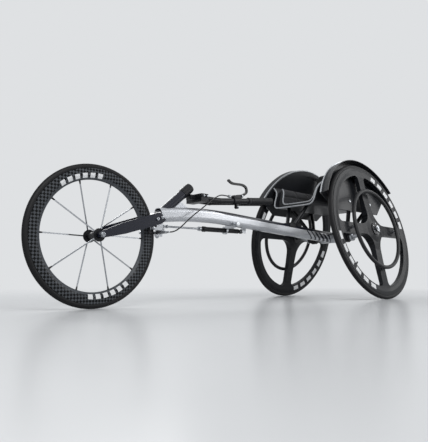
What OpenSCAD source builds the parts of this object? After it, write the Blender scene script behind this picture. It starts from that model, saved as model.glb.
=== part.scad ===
// Racing wheelchair: one steered front wheel, two cambered rear wheels with pushrims,
// a long arched main tube, a bucket seat between wheel guards, and a steering compensator.
// Millimetres. +X forward, +Y to the rider's left, +Z up.
// The origin is on the ground at the middle of the bounding box.

/* [Layout] */
// Distance from the rear axle to the front axle
wheelbase = 1374; // [1250:1:1480]
// Lean of the rear wheels, tops inward, degrees
camber = 12.3; // [8:0.1:15]
// Distance between the rear wheel centres at hub height
hub_spacing = 472; // [440:1:520]

/* [Rear wheels] */
// Outer diameter over the tyre
rear_d = 678; // [640:1:700]
// Tyre section
rear_tyre_w = 22; // [19:0.5:25]
// Depth of the tyre's bed in the rim
rear_bed = 5; // [3:0.5:7]
// Rim width at the brake shoulder
rear_rim_w = 25; // [23:0.5:30]
// Depth of the carbon rim inside the tyre
rear_rim_depth = 40; // [30:1:55]
// Thickness of the spokes beside the rim
rear_web_t = 19; // [14:0.5:23]
// Thickness at the hub
rear_core_t = 48; // [40:1:56]
// Spoke width
rear_spoke_w = 50; // [36:1:64]
// Curve between neighbouring spokes at the hub
rear_hub_curve = 70; // [40:1:95]
// Curve from a spoke into the rim
rear_rim_curve = 22; // [10:1:34]

/* [Rear hubs] */
// Barrel that fills the carbon wheel's bore
hub_barrel_d = 40; // [34:1:46]
// Flange on each face of the wheel
hub_flange_d = 64; // [54:1:72]
// Flange thickness
hub_flange_t = 4; // [3:0.5:6]
// Rear axle diameter
rear_axle_d = 12.7; // [10:0.1:15]
// Cap on the outer end of the axle
axle_cap_d = 27; // [22:1:34]
// Height of that cap
axle_cap_h = 10; // [6:0.5:16]
// Radial running clearance of axles and steerer
run_fit = 0.05; // [0.02:0.01:0.1]
// Face gap between pieces that turn against each other
face_gap = 0.5; // [0.3:0.1:1]

/* [Pushrims] */
// Diameter of the pushrim's centre line
pushrim_d = 385; // [340:1:410]
// Pushrim tube
pushrim_tube = 18; // [15:0.5:22]
// Offset of the pushrim outboard of the wheel
pushrim_off = 33; // [28:0.5:45]
// Stand-off post between spoke and pushrim
standoff_d = 14; // [9:0.5:18]

/* [Front wheel] */
// Outer diameter over the tyre
front_d = 481; // [460:1:500]
// Tyre section
front_tyre_w = 21; // [18:0.5:24]
// Depth of the tyre's bed in the rim
front_bed = 5; // [3:0.5:7]
// Rim width at the brake shoulder
front_rim_w = 23; // [21:0.5:28]
// Depth of the carbon rim inside the tyre
front_rim_depth = 38; // [28:1:46]
// Number of spokes
front_spoke_n = 10; // [8:2:20]
// Spoke blade width
spoke_w = 4.4; // [3:0.1:6]
// Spoke blade thickness
spoke_t = 2; // [1.4:0.1:3]
// Hub barrel
front_hub_d = 24; // [20:0.5:32]
// Hub flange
front_flange_d = 44; // [36:1:56]
// Distance over the hub flanges
front_flange_y = 70; // [60:1:74]
// Hub flange thickness
front_flange_t = 4; // [3:0.5:6]
// Front axle diameter
front_axle_d = 10; // [8:0.5:12]

/* [Fork and steering] */
// Slope of the steering axis above the ground, degrees
head_angle = 39.5; // [36:0.1:44]
// Point of the steering axis behind the front axle
head_back = 275; // [245:1:305]
// Height of that point
head_z = 340; // [325:1:355]
// Head tube below that point
head_low = 18; // [12:1:24]
// Head tube length
head_len = 146; // [130:1:165]
// Head tube outside diameter
head_d = 36; // [32:0.5:42]
// Head tube wall
head_wall = 3; // [2:0.1:4]
// Headset cup height
cup_h = 6; // [4:0.5:9]
// Headset cup outside diameter
cup_d = 39; // [36:0.5:46]
// Steerer outside diameter
steerer_d = 25.4; // [22:0.1:28]
// Steerer wall
steerer_wall = 2.4; // [1.6:0.1:4]
// Crown thickness along the steering axis
crown_h = 20; // [16:0.5:24]
// Crown depth across the steering axis
crown_w = 36; // [32:0.5:44]
// Gap from the crown to the tyre
tyre_gap = 4; // [3:0.5:8]
// Distance between the fork blades
fork_gap = 80; // [76:1:100]
// Fork blade thickness
blade_t = 11; // [8:0.5:16]
// Upper end of the blades ahead of the crown's middle
blade_start = 20; // [10:1:26]
// Fork blade depth at the crown
blade_depth = 42; // [34:0.5:48]
// Fork blade depth two thirds of the way to the hub
blade_mid = 38; // [28:0.5:44]
// Fork blade depth at the dropout
blade_end = 22; // [18:0.5:28]

/* [Handlebars] */
// Bar diameter
bar_d = 22.2; // [19:0.1:26]
// Height of the bars at the clamp
bar_z = 412; // [405:1:420]
// How much thinner a bar is inside the clamp
bar_step = 0.4; // [0.2:0.1:1]
// Half length of the ring over a bar's bend
bar_ring = 6; // [4:0.5:9]
// Distance between the bars
bar_spacing = 62; // [54:1:80]
// Bend of the bars behind the steering point
bar_bend = 269; // [240:1:300]
// Rear ends of the bars behind the steering point
bar_reach = 587; // [540:1:630]
// Height of the rear end
bar_end_z = 444; // [425:1:460]
// Length of each grip
grip_len = 150; // [100:1:170]
// Grip outside diameter
grip_d = 29; // [26:0.5:36]
// Bar clamp ring height
clamp_h = 38; // [34:1:44]
// Bar clamp ring diameter
clamp_d = 40; // [36:1:48]
// Rear face of the clamp block behind the steering point
clamp_back = 195; // [190:1:205]
// Height of the clamp block
clamp_tall = 32; // [31:0.5:44]
// Length of the clamp block
clamp_l = 36; // [30:1:38]
// Height of the top cap
top_cap_h = 6; // [4:0.5:12]

/* [Main tube] */
// Tube width
tube_w = 46; // [40:1:56]
// Tube height
tube_h = 54; // [46:1:60]
// Corner radius
tube_r = 17; // [10:0.5:20]
// Tube wall
tube_wall = 2.5; // [1.5:0.1:4]
// Line of the straight tube above the steering point
tube_over = 23.71; // [16:0.01:31]
// Start of the tube's bend behind the steering point
tube_bend_back = 349; // [260:1:440]
// Radius of the front bend
tube_bend_r = 2000; // [1500:10:3000]
// Angle of the front bend, degrees
tube_bend_a = 10.4; // [8:0.1:12]
// Thickness of the web between the head tube and the main tube
gusset_t = 9; // [4:0.5:11]
// Rear end of the gusset behind the steering point
gusset_back = 124; // [100:1:150]
// How far up the head tube the web reaches
gusset_s = 95; // [70:1:120]

/* [Rear axle] */
// Camber tube outside diameter
camber_d = 44; // [38:1:50]
// Camber tube wall
camber_wall = 3; // [2:0.1:5]
// Sleeve wall around the camber tube
sleeve_wall = 6; // [6:0.5:9]
// Sleeve length
sleeve_len = 96; // [70:1:130]
// Distance along the axle from wheel centre to camber tube end
plug_out = 110; // [95:1:125]
// Length of the plug inside the tube
plug_in = 42; // [30:1:55]
// Plug collar thickness
plug_collar = 8; // [5:0.5:12]
// Boss around the axle
plug_boss_d = 28; // [22:1:34]

/* [Wheel guards] */
// Edge of the guard beyond the tyre
guard_over = 26; // [18:1:34]
// Sheet thickness
guard_t = 3; // [2:0.1:4]
// Guard plate inboard of the wheel plane
guard_in = 26; // [22:0.5:32]
// Lip reach outboard of the wheel plane
lip_out = 12; // [0:1:20]
// Front end of the lip, degrees above level
lip_front = 27; // [20:1:40]
// Rear end of the lip, degrees above level
lip_rear = 142; // [110:1:150]
// Lower edge of the plate above the hub
guard_low = 100; // [85:1:125]
// Width of the raised border inside the lip
border_w = 28; // [18:1:36]
// Thickness of the raised border
border_t = 2.5; // [1:0.1:4]
// Trim bead width
trim_w = 7; // [4:0.5:10]
// Trim bead height
trim_h = 5; // [3:0.5:7]
// Bolt head diameter on the guards
guard_bolt_d = 12; // [8:0.5:16]
// Bolt head height
guard_bolt_h = 4; // [2:0.5:6]
// Upper guard bolts inside the guard's edge
bolt_in = 137; // [125:1:150]

/* [Seat] */
// Height of the seat pan's underside
seat_z = 443; // [430:1:455]
// Half width of the pan's flat floor
seat_half = 92; // [80:1:100]
// Pan sheet thickness
pan_t = 3; // [2:0.1:4]
// Gap between the pan and the guard's border
pan_gap = 0.3; // [0.2:0.1:1]
// Front edge of the pan at the floor
seat_front_x = 312; // [295:1:325]
// Rear edge of the pan
seat_back_x = -92; // [-105:1:-80]
// Backward slope of the pan's front edge, degrees from upright
seat_front_a = 22; // [10:1:30]
// Seat pad thickness
pad_t = 19; // [14:0.5:24]
// Front edge of the pad behind the pan's
pad_back = 26; // [15:1:36]
// Back pad thickness
back_t = 24; // [16:0.5:30]
// Height of the back bar
back_z = 655; // [640:1:662]
// Back bar diameter
back_d = 19; // [16:0.5:22]
// Length of the saddle under the seat struts
saddle_l = 44; // [30:1:60]
// Thickness of that saddle over the main tube
saddle_t = 6; // [4:0.5:10]
// Seat strut diameter
strut_d = 18; // [14:0.5:24]
// Foot of the struts on the main tube
strut_foot_x = 345; // [320:1:380]
// Head of the struts under the pan
strut_head_x = 262; // [235:1:280]
// Distance of the strut heads from the middle
strut_head_y = 58; // [40:1:75]
// Cage stay diameter
stay_d = 20; // [15:0.5:26]
// Cage stay foot on the camber tube
stay_y = 100; // [90:1:110]
// Spread of the cage stays at the guard
stay_x = 95; // [60:1:120]
// Cage stay head above the hub, in the guard's plane
stay_v = 150; // [130:1:175]

/* [Compensator] */
// Distance of the compensator to the right of the middle
comp_y = 34; // [32:0.5:38]
// Rear pivot of the compensator behind the steering point
comp_back = 459; // [420:1:500]
// Rear pivot below the tube's centre line
comp_drop = 37.46; // [36:0.01:44]
// Ball stud distance down the steering axis
arm_s = 34; // [31:0.5:37]
// Ball stud distance behind the steering axis
arm_t = 30; // [28:0.5:33]
// Ball radius
ball_r = 6; // [5:0.25:7]
// Gap between the front ball and its eye
ball_gap = 1.3; // [1.1:0.1:1.5]
// Gap between the rear ball and its eye
pivot_gap = 0.3; // [0.2:0.05:0.5]
// Eye outside radius
eye_r = 10; // [9.5:0.25:11]
// Eye width
eye_w = 7; // [6:0.5:8]
// Cylinder diameter
cyl_d = 20; // [18:0.5:22]
// Cylinder length
cyl_len = 205; // [180:1:240]
// Rod diameter
rod_d = 8; // [6:0.5:10]
// Bore of the cylinder
cyl_bore = 14; // [12:0.5:15.5]

/* [Brake] */
// Calliper pivot ahead of the steering point
cal_ahead = 18; // [16:0.5:20]
// Underside of the lower caliper arm
cal_z = 261; // [258:0.5:263]
// Caliper arm thickness
cal_t = 10; // [8:0.5:10.5]
// Gap beside each caliper arm
cal_gap = 1; // [0.5:0.1:1.5]
// Distance of the arms beside the tyre
cal_y = 27; // [25:0.5:30]
// Brake pads ahead of the steering point
pad_ahead = 64; // [61:0.5:67]
// Gap from a pad to the rim
pad_gap = 2.2; // [1.8:0.1:3]
// Brake pad length
pad_len = 34; // [26:1:40]
// Lever pivot ahead of the grip
lever_gap = 42; // [36:1:50]
// Brake lever thickness
lever_t = 8; // [6:0.5:10]
// Brake cable diameter
cable_d = 5; // [4:0.5:6]

/* [Hidden] */
$fn = 64;
rear_r = rear_d / 2;
front_r = front_d / 2;
origin_x = (wheelbase + front_r - rear_r) / 2;
rear_tyre_c = rear_r - rear_tyre_w / 2;
front_tyre_c = front_r - front_tyre_w / 2;
hub_y = hub_spacing / 2;
hub_z = rear_tyre_c * cos(camber) + rear_tyre_w / 2;
camber_end = hub_y - plug_out * cos(camber);
camber_z = hub_z - plug_out * sin(camber);
head_x = wheelbase - head_back;
bar_bend_x = head_x - bar_bend;
bar_end_x = head_x - bar_reach;
clamp_x = head_x - clamp_back;
tube_rise = round(100 * atan2(head_z + tube_over - camber_z, head_x)) / 100;
tube_bend_x = head_x - tube_bend_back;
gusset_x = head_x - gusset_back;
guard_r = rear_r + guard_over;
comp_x = head_x - comp_back;
comp_z = camber_z + comp_x * tan(tube_rise) - comp_drop;
cal_x = head_x + cal_ahead;
pad_x = head_x + pad_ahead;
lever_x = bar_end_x + grip_len + lever_gap;
rear_edge = rear_tyre_c - rear_tyre_w / 2 + rear_bed;
rear_in = rear_edge - rear_rim_depth;
front_edge = front_tyre_c - front_tyre_w / 2 + front_bed;
front_in = front_edge - front_rim_depth;
bed_fit = 0.05;
hub_out = rear_core_t / 2 + hub_flange_t;
hub_in = hub_out + 7;
front_half = fork_gap / 2 - 3;
bend_z = camber_z + tube_bend_x * tan(tube_rise);
tube_cut = head_low - 4;
crown_s = head_low + cup_h + face_gap;
clamp_s = head_len - head_low + cup_h + face_gap;
crown_c = sp(crown_s + crown_h / 2, 0);
blade_c = crown_c + 0.66 * ([wheelbase, front_r] - crown_c);
bar_y = bar_spacing / 2;
bar_a = atan2(bar_end_z - bar_z, bar_bend_x - bar_end_x);
lever_z = bar_height(lever_x) + bar_d / 2 + 9;
lever_path = [for (q = curve([[0, 0], [-30, 17], [-35, 31], [-27, 44], [-4, 50], [50, 49], [72, 58]], 4))
    [lever_x, lever_z] + q];
arm_p = sp(arm_s, -arm_t);
link_a = atan2(arm_p[1] - comp_z, arm_p[0] - comp_x);
link_l = norm([arm_p[0] - comp_x, arm_p[1] - comp_z]);
cal_top = cal_z + cal_t + cal_gap;
pan_side = [[0, 0], [seat_half, 0], [seat_half + 12, 3], [seat_half + 21, 10], [seat_half + 26, 20],
    [seat_half + 29, 35], [seat_half + 31, 72], [seat_half + 35, 85], [seat_half + 44, 98],
    [seat_half + 80, 130]];
pad_h = pan_t + pad_t;
pad_side = [[0, pad_h - 1], [seat_half - 26, pad_h], [seat_half - 11, pad_h + 5],
    [seat_half - 2, pad_h + 15],
    [seat_half + 3, pad_h + 32], [seat_half + 7, pad_h + 57], [seat_half + 14, pad_h + 76],
    [seat_half + 25, pad_h + 89], [seat_half + 34, pad_h + 88]];

// Point in the X-Z plane: s down the steering axis, t forward and up across it
function sp(s, t) = [head_x + s * cos(head_angle) + t * sin(head_angle),
    head_z - s * sin(head_angle) + t * cos(head_angle)];
// Centre height of a bar's rear part
function bar_height(x) = bar_z + (bar_bend_x - x) * tan(bar_a);
// Point beside the left rear wheel: x forward, v up in the wheel plane, w outboard
function wheel_pt(x, v, w) = [x, hub_y - v * sin(camber) + w * cos(camber),
    hub_z + v * cos(camber) + w * sin(camber)];
// Both halves of a side profile
function both(p) = concat([for (i = [len(p) - 1 : -1 : 1]) [-p[i][0], p[i][1]]], p);
function left_of(a, b) = [a[1] - b[1], b[0] - a[0]] / norm(b - a);
// A line of points moved sideways by d
function moved(p, d) = [for (i = [0 : len(p) - 1])
    let (n1 = left_of(p[max(i - 1, 0)], p[max(i, 1)]),
        n2 = left_of(p[min(i, len(p) - 2)], p[min(i + 1, len(p) - 1)]))
    p[i] + d * (n1 + n2) / (1 + n1 * n2)];
function backward(p) = [for (i = [len(p) - 1 : -1 : 0]) p[i]];
function flipped(p) = [for (q = p) [q[0], -q[1]]];
function arc_pts(c, r, a0, a1, n) =
    [for (i = [0 : n]) let (a = a0 + (a1 - a0) * i / n) c + r * [cos(a), sin(a)]];
function firsts(p, n) = [for (i = [0 : n - 1]) p[i]];

// Placing helpers
module place() {
    translate([-origin_x, 0, 0]) children();
}

// Left wheel frame: +Z outboard along the axle, +X forward, +Y down
module wheel_left() {
    translate([0, hub_y, hub_z]) rotate([camber - 90, 0, 0]) children();
}

module right() {
    mirror([0, 1, 0]) children();
}

// Steering frame: +Z up the head tube, +X forward and up across it
module steer() {
    translate([head_x, 0, head_z]) rotate([0, head_angle - 90, 0]) children();
}

// Compensator frame: +X along the rod toward the fork
module link() {
    translate([comp_x, -comp_y, comp_z]) rotate([0, -link_a, 0]) children();
}

module front_axis() {
    translate([wheelbase, 0, front_r]) rotate([90, 0, 0]) children();
}

// Everything further down the steering axis than s
module below(s) {
    steer() translate([-400, -400, -s - 800]) cube(800);
}

// Everything outboard of a plane w from the left wheel plane
module outboard(w) {
    wheel_left() translate([-600, -600, w]) cube([1200, 1200, 500]);
}

// Shape helpers
module rod(a, b, d, turn = 0) {
    v = b - a;
    translate(a) rotate([0, acos(v[2] / norm(v)), atan2(v[1], v[0])]) rotate([0, 0, turn])
        cylinder(d = d, h = norm(v));
}

module bar_link(a, ra, b, rb) {
    d = norm(b - a);
    k = acos((ra - rb) / d);
    u = 0.99;
    translate(a) rotate(atan2(b[1] - a[1], b[0] - a[0])) {
        circle(r = ra);
        translate([d, 0]) circle(r = rb);
        polygon([[u * ra * cos(k), u * ra * sin(k)], [d + u * rb * cos(k), u * rb * sin(k)],
            [d + u * rb * cos(k), -u * rb * sin(k)], [u * ra * cos(k), -u * ra * sin(k)]]);
    }
}

module round_rect(w, h, r) {
    x = w / 2 - r;
    y = h / 2 - r;
    polygon(concat(arc_pts([x, y], r, 0, 90, 6), arc_pts([-x, y], r, 90, 180, 6),
        arc_pts([-x, -y], r, 180, 270, 6), arc_pts([x, -y], r, 270, 360, 6)));
}

// Main tube as a solid, inset by g
module tube_solid(g) {
    tube_straight(g);
    tube_front(g);
}

module tube_line() {
    translate([0, 0, camber_z]) rotate([0, -tube_rise, 0]) children();
}

module tube_straight(g) {
    tube_line() rotate([90, 0, 90])
        linear_extrude(tube_bend_x / cos(tube_rise))
            round_rect(tube_w - 2 * g, tube_h - 2 * g, tube_r - g);
}

module tube_front(g) {
    translate([tube_bend_x + tube_bend_r * sin(tube_rise), 0, bend_z - tube_bend_r * cos(tube_rise)])
        rotate([90, 0, 0]) rotate([0, 0, 90 + tube_rise - tube_bend_a])
            rotate_extrude(angle = tube_bend_a)
                translate([tube_bend_r, 0]) round_rect(tube_h - 2 * g, tube_w - 2 * g, tube_r - g);
}

// Round tube swept through points, k sides
module cord(p, d, k) {
    n = len(p);
    t = [for (i = [0 : n - 1]) let (v = p[min(i + 1, n - 1)] - p[max(i - 1, 0)]) v / norm(v)];
    e = [for (i = [0 : n - 1]) let (c = cross(t[i], [0, 1, 0.35])) c / norm(c)];
    pts = [for (i = [0 : n - 1], j = [0 : k - 1])
        p[i] + d / 2 * (cos(360 * j / k) * e[i] + sin(360 * j / k) * cross(t[i], e[i]))];
    sides = [for (i = [0 : n - 2], j = [0 : k - 1])
        [i * k + j, i * k + (j + 1) % k, (i + 1) * k + (j + 1) % k, (i + 1) * k + j]];
    ends = [[for (j = [0 : k - 1]) k - 1 - j], [for (j = [0 : k - 1]) (n - 1) * k + j]];
    polyhedron(pts, concat(sides, ends), convexity = 8);
}

// Smooth curve through points
function curve(p, m) = concat([for (i = [0 : len(p) - 2], j = [0 : m - 1])
    let (a = p[max(i - 1, 0)], b = p[i], c = p[i + 1], d = p[min(i + 2, len(p) - 1)], u = j / m)
    0.5 * (2 * b + (c - a) * u + (2 * a - 5 * b + 4 * c - d) * u * u
        + (3 * b - a - 3 * c + d) * u * u * u)], [p[len(p) - 1]]);

// Chassis
module main_tube() {
    color("#c9ccd0") difference() {
        tube_solid(0);
        difference() {
            tube_solid(tube_wall);
            below(tube_cut - tube_wall);
        }
        below(tube_cut);
        steer() translate([0, 0, -2 * head_low]) cylinder(d = head_d, h = head_len + 2 * head_low);
        translate([0, 0, camber_z]) rotate([90, 0, 0])
            cylinder(d = camber_d + 2 * sleeve_wall, h = 2 * tube_w, center = true);
    }
}

module head_tube() {
    color("#202225") steer() translate([0, 0, -head_low]) difference() {
        cylinder(d = head_d, h = head_len);
        translate([0, 0, -1]) cylinder(d = head_d - 2 * head_wall, h = head_len + 2);
    }
}

module head_gussets() {
    c = [tube_bend_x + tube_bend_r * sin(tube_rise), bend_z - tube_bend_r * cos(tube_rise)];
    r = tube_bend_r + tube_h / 2;
    color("#c9ccd0") difference() {
        rotate([90, 0, 0]) linear_extrude(gusset_t, center = true)
            polygon(concat(arc_pts(c, r, acos((gusset_x - c[0]) / r), acos((gusset_x + 95 - c[0]) / r), 12),
                [sp(-40, 0), sp(-gusset_s, 0)]));
        steer() translate([0, 0, -2 * head_low]) cylinder(d = head_d, h = head_len + 2 * head_low);
    }
}

module headset_cups() {
    color("#26282b") steer() {
        translate([0, 0, head_len - head_low]) headset_cup();
        translate([0, 0, -head_low]) mirror([0, 0, 1]) headset_cup();
    }
}

module headset_cup() {
    difference() {
        union() {
            cylinder(d = cup_d, h = cup_h);
            translate([0, 0, -10]) cylinder(d = head_d - 2 * head_wall, h = 11);
        }
        translate([0, 0, -11]) cylinder(d = steerer_d + 2 * run_fit, h = cup_h + 12);
    }
}

module axle_sleeve() {
    color("#c9ccd0") translate([0, 0, camber_z]) rotate([90, 0, 0]) difference() {
        cylinder(d = camber_d + 2 * sleeve_wall, h = sleeve_len, center = true);
        cylinder(d = camber_d, h = sleeve_len + 2, center = true);
    }
}

module camber_tube() {
    color("#26282b") translate([0, 0, camber_z]) rotate([90, 0, 0]) difference() {
        cylinder(d = camber_d, h = 2 * camber_end, center = true);
        cylinder(d = camber_d - 2 * camber_wall, h = 2 * camber_end + 2, center = true);
    }
}

module camber_plug_left() {
    color("#9da1a6") difference() {
        union() {
            translate([0, camber_end - plug_in, camber_z]) rotate([-90, 0, 0])
                cylinder(d = camber_d - 2 * camber_wall, h = plug_in + 1);
            translate([0, camber_end, camber_z]) rotate([-90, 0, 0])
                cylinder(d = camber_d, h = plug_collar);
            wheel_left() translate([0, 0, -plug_out - 2])
                cylinder(d = plug_boss_d, h = plug_out + 2 - hub_in - face_gap);
        }
        wheel_left() translate([0, 0, -plug_out - 0.8 * plug_in])
            cylinder(d = rear_axle_d, h = plug_out);
    }
}

module camber_plug_right() {
    right() camber_plug_left();
}

module rear_axle_left() {
    color("#b9bdc2") wheel_left() {
        translate([0, 0, -plug_out - 0.8 * plug_in])
            cylinder(d = rear_axle_d, h = plug_out + 0.8 * plug_in + hub_out + face_gap + 1);
        translate([0, 0, hub_out + face_gap]) cylinder(d = axle_cap_d, h = axle_cap_h);
    }
}

module rear_axle_right() {
    right() rear_axle_left();
}

// Wheel guards
module guard_outline() {
    intersection() {
        circle(r = guard_r);
        polygon([(guard_r + 55) * [cos(lip_front), sin(lip_front)], [guard_r + 65, guard_r + 235],
            [-guard_r - 65, guard_r + 235], (guard_r + 55) * [cos(lip_rear), sin(lip_rear)],
            [-150, guard_low], [235, guard_low]]);
    }
}

module guard_ring(r, dr, z, dz) {
    mirror([0, 1, 0]) rotate([0, 0, lip_front]) rotate_extrude(angle = lip_rear - lip_front)
        translate([r, z]) square([dr, dz]);
}

module side_panel_left() {
    color("#1d1f22") wheel_left() {
        translate([0, 0, -guard_in - guard_t]) linear_extrude(guard_t)
            mirror([0, 1]) guard_outline();
        guard_ring(guard_r - border_w, border_w, -guard_in - guard_t - border_t, border_t + guard_t);
        guard_ring(guard_r - guard_t, guard_t, -guard_in - guard_t, guard_in + guard_t + lip_out);
    }
}

module side_panel_right() {
    right() side_panel_left();
}

module panel_trim_left() {
    color("#d5d8db") wheel_left() guard_ring(guard_r, trim_h, -guard_in - guard_t, trim_w);
}

module panel_trim_right() {
    right() panel_trim_left();
}

module cage_stay_left() {
    color("#2a2c30") difference() {
        union() {
            translate([0, stay_y, camber_z]) rotate([90, 0, 0])
                cylinder(d = camber_d + 12, h = 22, center = true);
            for (x = [-1, 1]) {
                rod([0, stay_y, camber_z], wheel_pt(x * stay_x, stay_v, -guard_in), stay_d);
                wheel_left() translate([x * stay_x, -stay_v, -guard_in - guard_t - 5])
                    cylinder(d = 1.8 * stay_d, h = 6);
            }
        }
        translate([0, 0, camber_z]) rotate([90, 0, 0])
            cylinder(d = camber_d, h = hub_spacing, center = true);
        outboard(-guard_in - guard_t);
    }
}

module cage_stay_right() {
    right() cage_stay_left();
}

module panel_bolts_side() {
    v = guard_r - bolt_in;
    wheel_left() for (b = [[stay_x, stay_v], [-stay_x, stay_v], [200, v], [-60, v]])
        translate([b[0], -b[1], -guard_in]) cylinder(d = guard_bolt_d, h = guard_bolt_h);
}

module panel_bolts() {
    color("#c4c8cc") {
        panel_bolts_side();
        right() panel_bolts_side();
    }
}

// Seat
module seat_profile(p, x0, x1) {
    translate([x0, 0, seat_z]) rotate([90, 0, 90]) linear_extrude(x1 - x0) polygon(p);
}

module seat_front_cut(back) {
    translate([seat_front_x - back, -400, seat_z]) rotate([0, -seat_front_a, 0])
        translate([0, 0, -100]) cube([400, 800, 600]);
}

module pan_clearance() {
    wheel_left() guard_ring(guard_r - border_w - pan_gap, border_w + 40,
        -guard_in - guard_t - border_t - pan_gap, border_t + 10);
}

module seat_pan() {
    p = both(pan_side);
    color("#303338") difference() {
        seat_profile(concat(p, backward(moved(p, pan_t))), seat_back_x, seat_front_x + 10);
        seat_front_cut(0);
        outboard(-guard_in - guard_t);
        right() outboard(-guard_in - guard_t);
        pan_clearance();
        right() pan_clearance();
    }
}

module seat_pad() {
    p = both(firsts(moved(pan_side, pan_t), 9));
    color("#17181a") difference() {
        seat_profile(concat(p, backward(both(pad_side))), seat_back_x + back_t + 1, seat_front_x);
        seat_front_cut(pad_back);
    }
}

module back_pad() {
    p = concat(firsts(moved(pan_side, pan_t), 9), [[seat_half + 53, 119], [seat_half + 36, 202],
        [seat_half + 28, 214], [seat_half + 12, 222]]);
    f = [[0, back_t], [50, back_t - 0.7], [90, back_t - 2.5], [120, back_t - 6], [160, back_t - 13]];
    color("#17181a") intersection() {
        seat_profile(concat(both(p), [[0, 225]]), seat_back_x, seat_back_x + back_t);
        translate([seat_back_x, 0, 0]) linear_extrude(1000)
            polygon(concat([[0, -160]], [for (q = both(f)) [q[1], q[0]]], [[0, 160]]));
    }
}

module back_bar() {
    color("#c4c8cc") difference() {
        translate([seat_back_x - back_d / 2, 0, back_z]) rotate([90, 0, 0])
            cylinder(d = back_d, h = hub_spacing, center = true);
        outboard(-guard_in - guard_t - border_t);
        right() outboard(-guard_in - guard_t - border_t);
    }
}

module seat_struts() {
    color("#2a2c30") {
        difference() {
            tube_line() translate([strut_foot_x - saddle_l / 2, -tube_w / 2 - 4, tube_h / 2 - 12])
                cube([saddle_l, tube_w + 8, saddle_t + 12]);
            tube_straight(0);
        }
        difference() {
            for (y = [-1, 1])
                rod([strut_foot_x, y * (strut_d / 2 + 3), camber_z + strut_foot_x * tan(tube_rise)],
                    [strut_head_x, y * strut_head_y, seat_z + 12], strut_d, 40);
            tube_line() translate([strut_foot_x - 100, -100, tube_h / 2 + saddle_t / 2 - 100])
                cube([200, 200, 100]);
            translate([0, -300, seat_z]) cube([600, 600, 200]);
        }
    }
}

// Compensator
module compensator_bracket() {
    color("#b9bdc2") {
        difference() {
            translate([comp_x - 11, 12 - comp_y, comp_z - 8]) cube([22, 10, 40]);
            tube_solid(0);
        }
        translate([comp_x, -comp_y, comp_z]) {
            sphere(r = ball_r);
            rotate([-90, 0, 0]) cylinder(d = ball_r, h = 13);
        }
    }
}

module compensator_steady() {
    color("#d5d8db") difference() {
        union() {
            link() translate([91, 0, 0]) rotate([0, 90, 0]) cylinder(d = cyl_d + 13, h = 10);
            translate([comp_x + 90, -comp_y + 8, comp_z + 3]) cube([12, comp_y + tube_w / 2 - 3, 24]);
            translate([comp_x + 96, tube_w / 2 + 1, comp_z + 19]) rotate([-90, 0, 0])
                cylinder(d = 22, h = 12);
        }
        tube_solid(0);
        link() rotate([0, 90, 0]) cylinder(d = cyl_d + 4.4, h = 200);
    }
}

module compensator_eye(gap) {
    difference() {
        rotate([90, 0, 0]) cylinder(r = eye_r, h = eye_w, center = true);
        sphere(r = ball_r + gap);
    }
}

module compensator_cylinder() {
    color("#26282b") link() {
        compensator_eye(pivot_gap);
        difference() {
            union() {
                translate([eye_r - 1.5, 0, 0]) rotate([0, 90, 0]) cylinder(d = 12, h = 12);
                translate([18, 0, 0]) rotate([0, 90, 0]) cylinder(d = cyl_d, h = cyl_len);
                translate([6 + cyl_len, 0, 0]) rotate([0, 90, 0]) cylinder(d = cyl_d + 3, h = 12);
            }
            translate([40, 0, 0]) rotate([0, 90, 0]) cylinder(d = cyl_bore, h = cyl_len - 34);
            translate([50, 0, 0]) rotate([0, 90, 0]) cylinder(d = rod_d + 2 * run_fit, h = cyl_len);
        }
    }
}

module compensator_rod() {
    color("#d5d8db") link() {
        translate([60, 0, 0]) rotate([0, 90, 0]) cylinder(d = rod_d, h = link_l - 60 - eye_r + 1.5);
        translate([110, 0, 0]) rotate([0, 90, 0]) cylinder(d = cyl_bore - 2 * run_fit, h = 12);
        translate([cyl_len + 32, 0, 0]) rotate([0, 90, 0]) cylinder(d = 18, h = 9);
        translate([link_l - 46, 0, 0]) rotate([0, 90, 0]) cylinder(d = 13, h = 34);
        translate([link_l, 0, 0]) compensator_eye(ball_gap);
    }
}

// Steered group
module steerer() {
    color("#8d9196") steer() translate([0, 0, 4 - crown_s - crown_h]) difference() {
        cylinder(d = steerer_d, h = crown_s + crown_h - 4 + clamp_s + clamp_h);
        translate([0, 0, 3]) cylinder(d = steerer_d - 2 * steerer_wall, h = 400);
    }
}

module fork_crown() {
    color("#1b1d24") difference() {
        steer() translate([-crown_w / 2, -fork_gap / 2, -crown_s - crown_h])
            cube([crown_w, fork_gap, crown_h]);
        steer() translate([0, 0, 4 - crown_s - crown_h]) cylinder(d = steerer_d, h = crown_h);
        front_axis() cylinder(r = front_r + tyre_gap, h = 200, center = true);
    }
}

module blade_outline() {
    e = [wheelbase, front_r];
    n = left_of(crown_c, e) / 2;
    a = atan2(n[1], n[0]);
    c = crown_c + blade_start * (e - crown_c) / norm(e - crown_c);
    polygon(concat(arc_pts(c, blade_depth / 2, a, a + 180, 20), [blade_c - blade_mid * n],
        arc_pts(e, blade_end / 2, a + 180, a + 360, 20), [blade_c + blade_mid * n]));
}

module fork_blade_left() {
    color("#1b1d24") translate([0, fork_gap / 2 + blade_t, 0]) rotate([90, 0, 0]) linear_extrude(blade_t)
        difference() {
            blade_outline();
            translate([wheelbase, front_r]) circle(d = front_axle_d);
        }
}

module fork_blade_right() {
    right() fork_blade_left();
}

module steering_arm() {
    color("#b9bdc2") {
        steer() translate([-arm_t - 6, 12 - comp_y, 1 - crown_s - crown_h])
            cube([arm_t + 6 - crown_w / 2, 10, crown_h - 2]);
        translate([arm_p[0], -comp_y, arm_p[1]]) {
            sphere(r = ball_r);
            rotate([-90, 0, 0]) cylinder(d = ball_r, h = 13);
        }
    }
}

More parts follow.
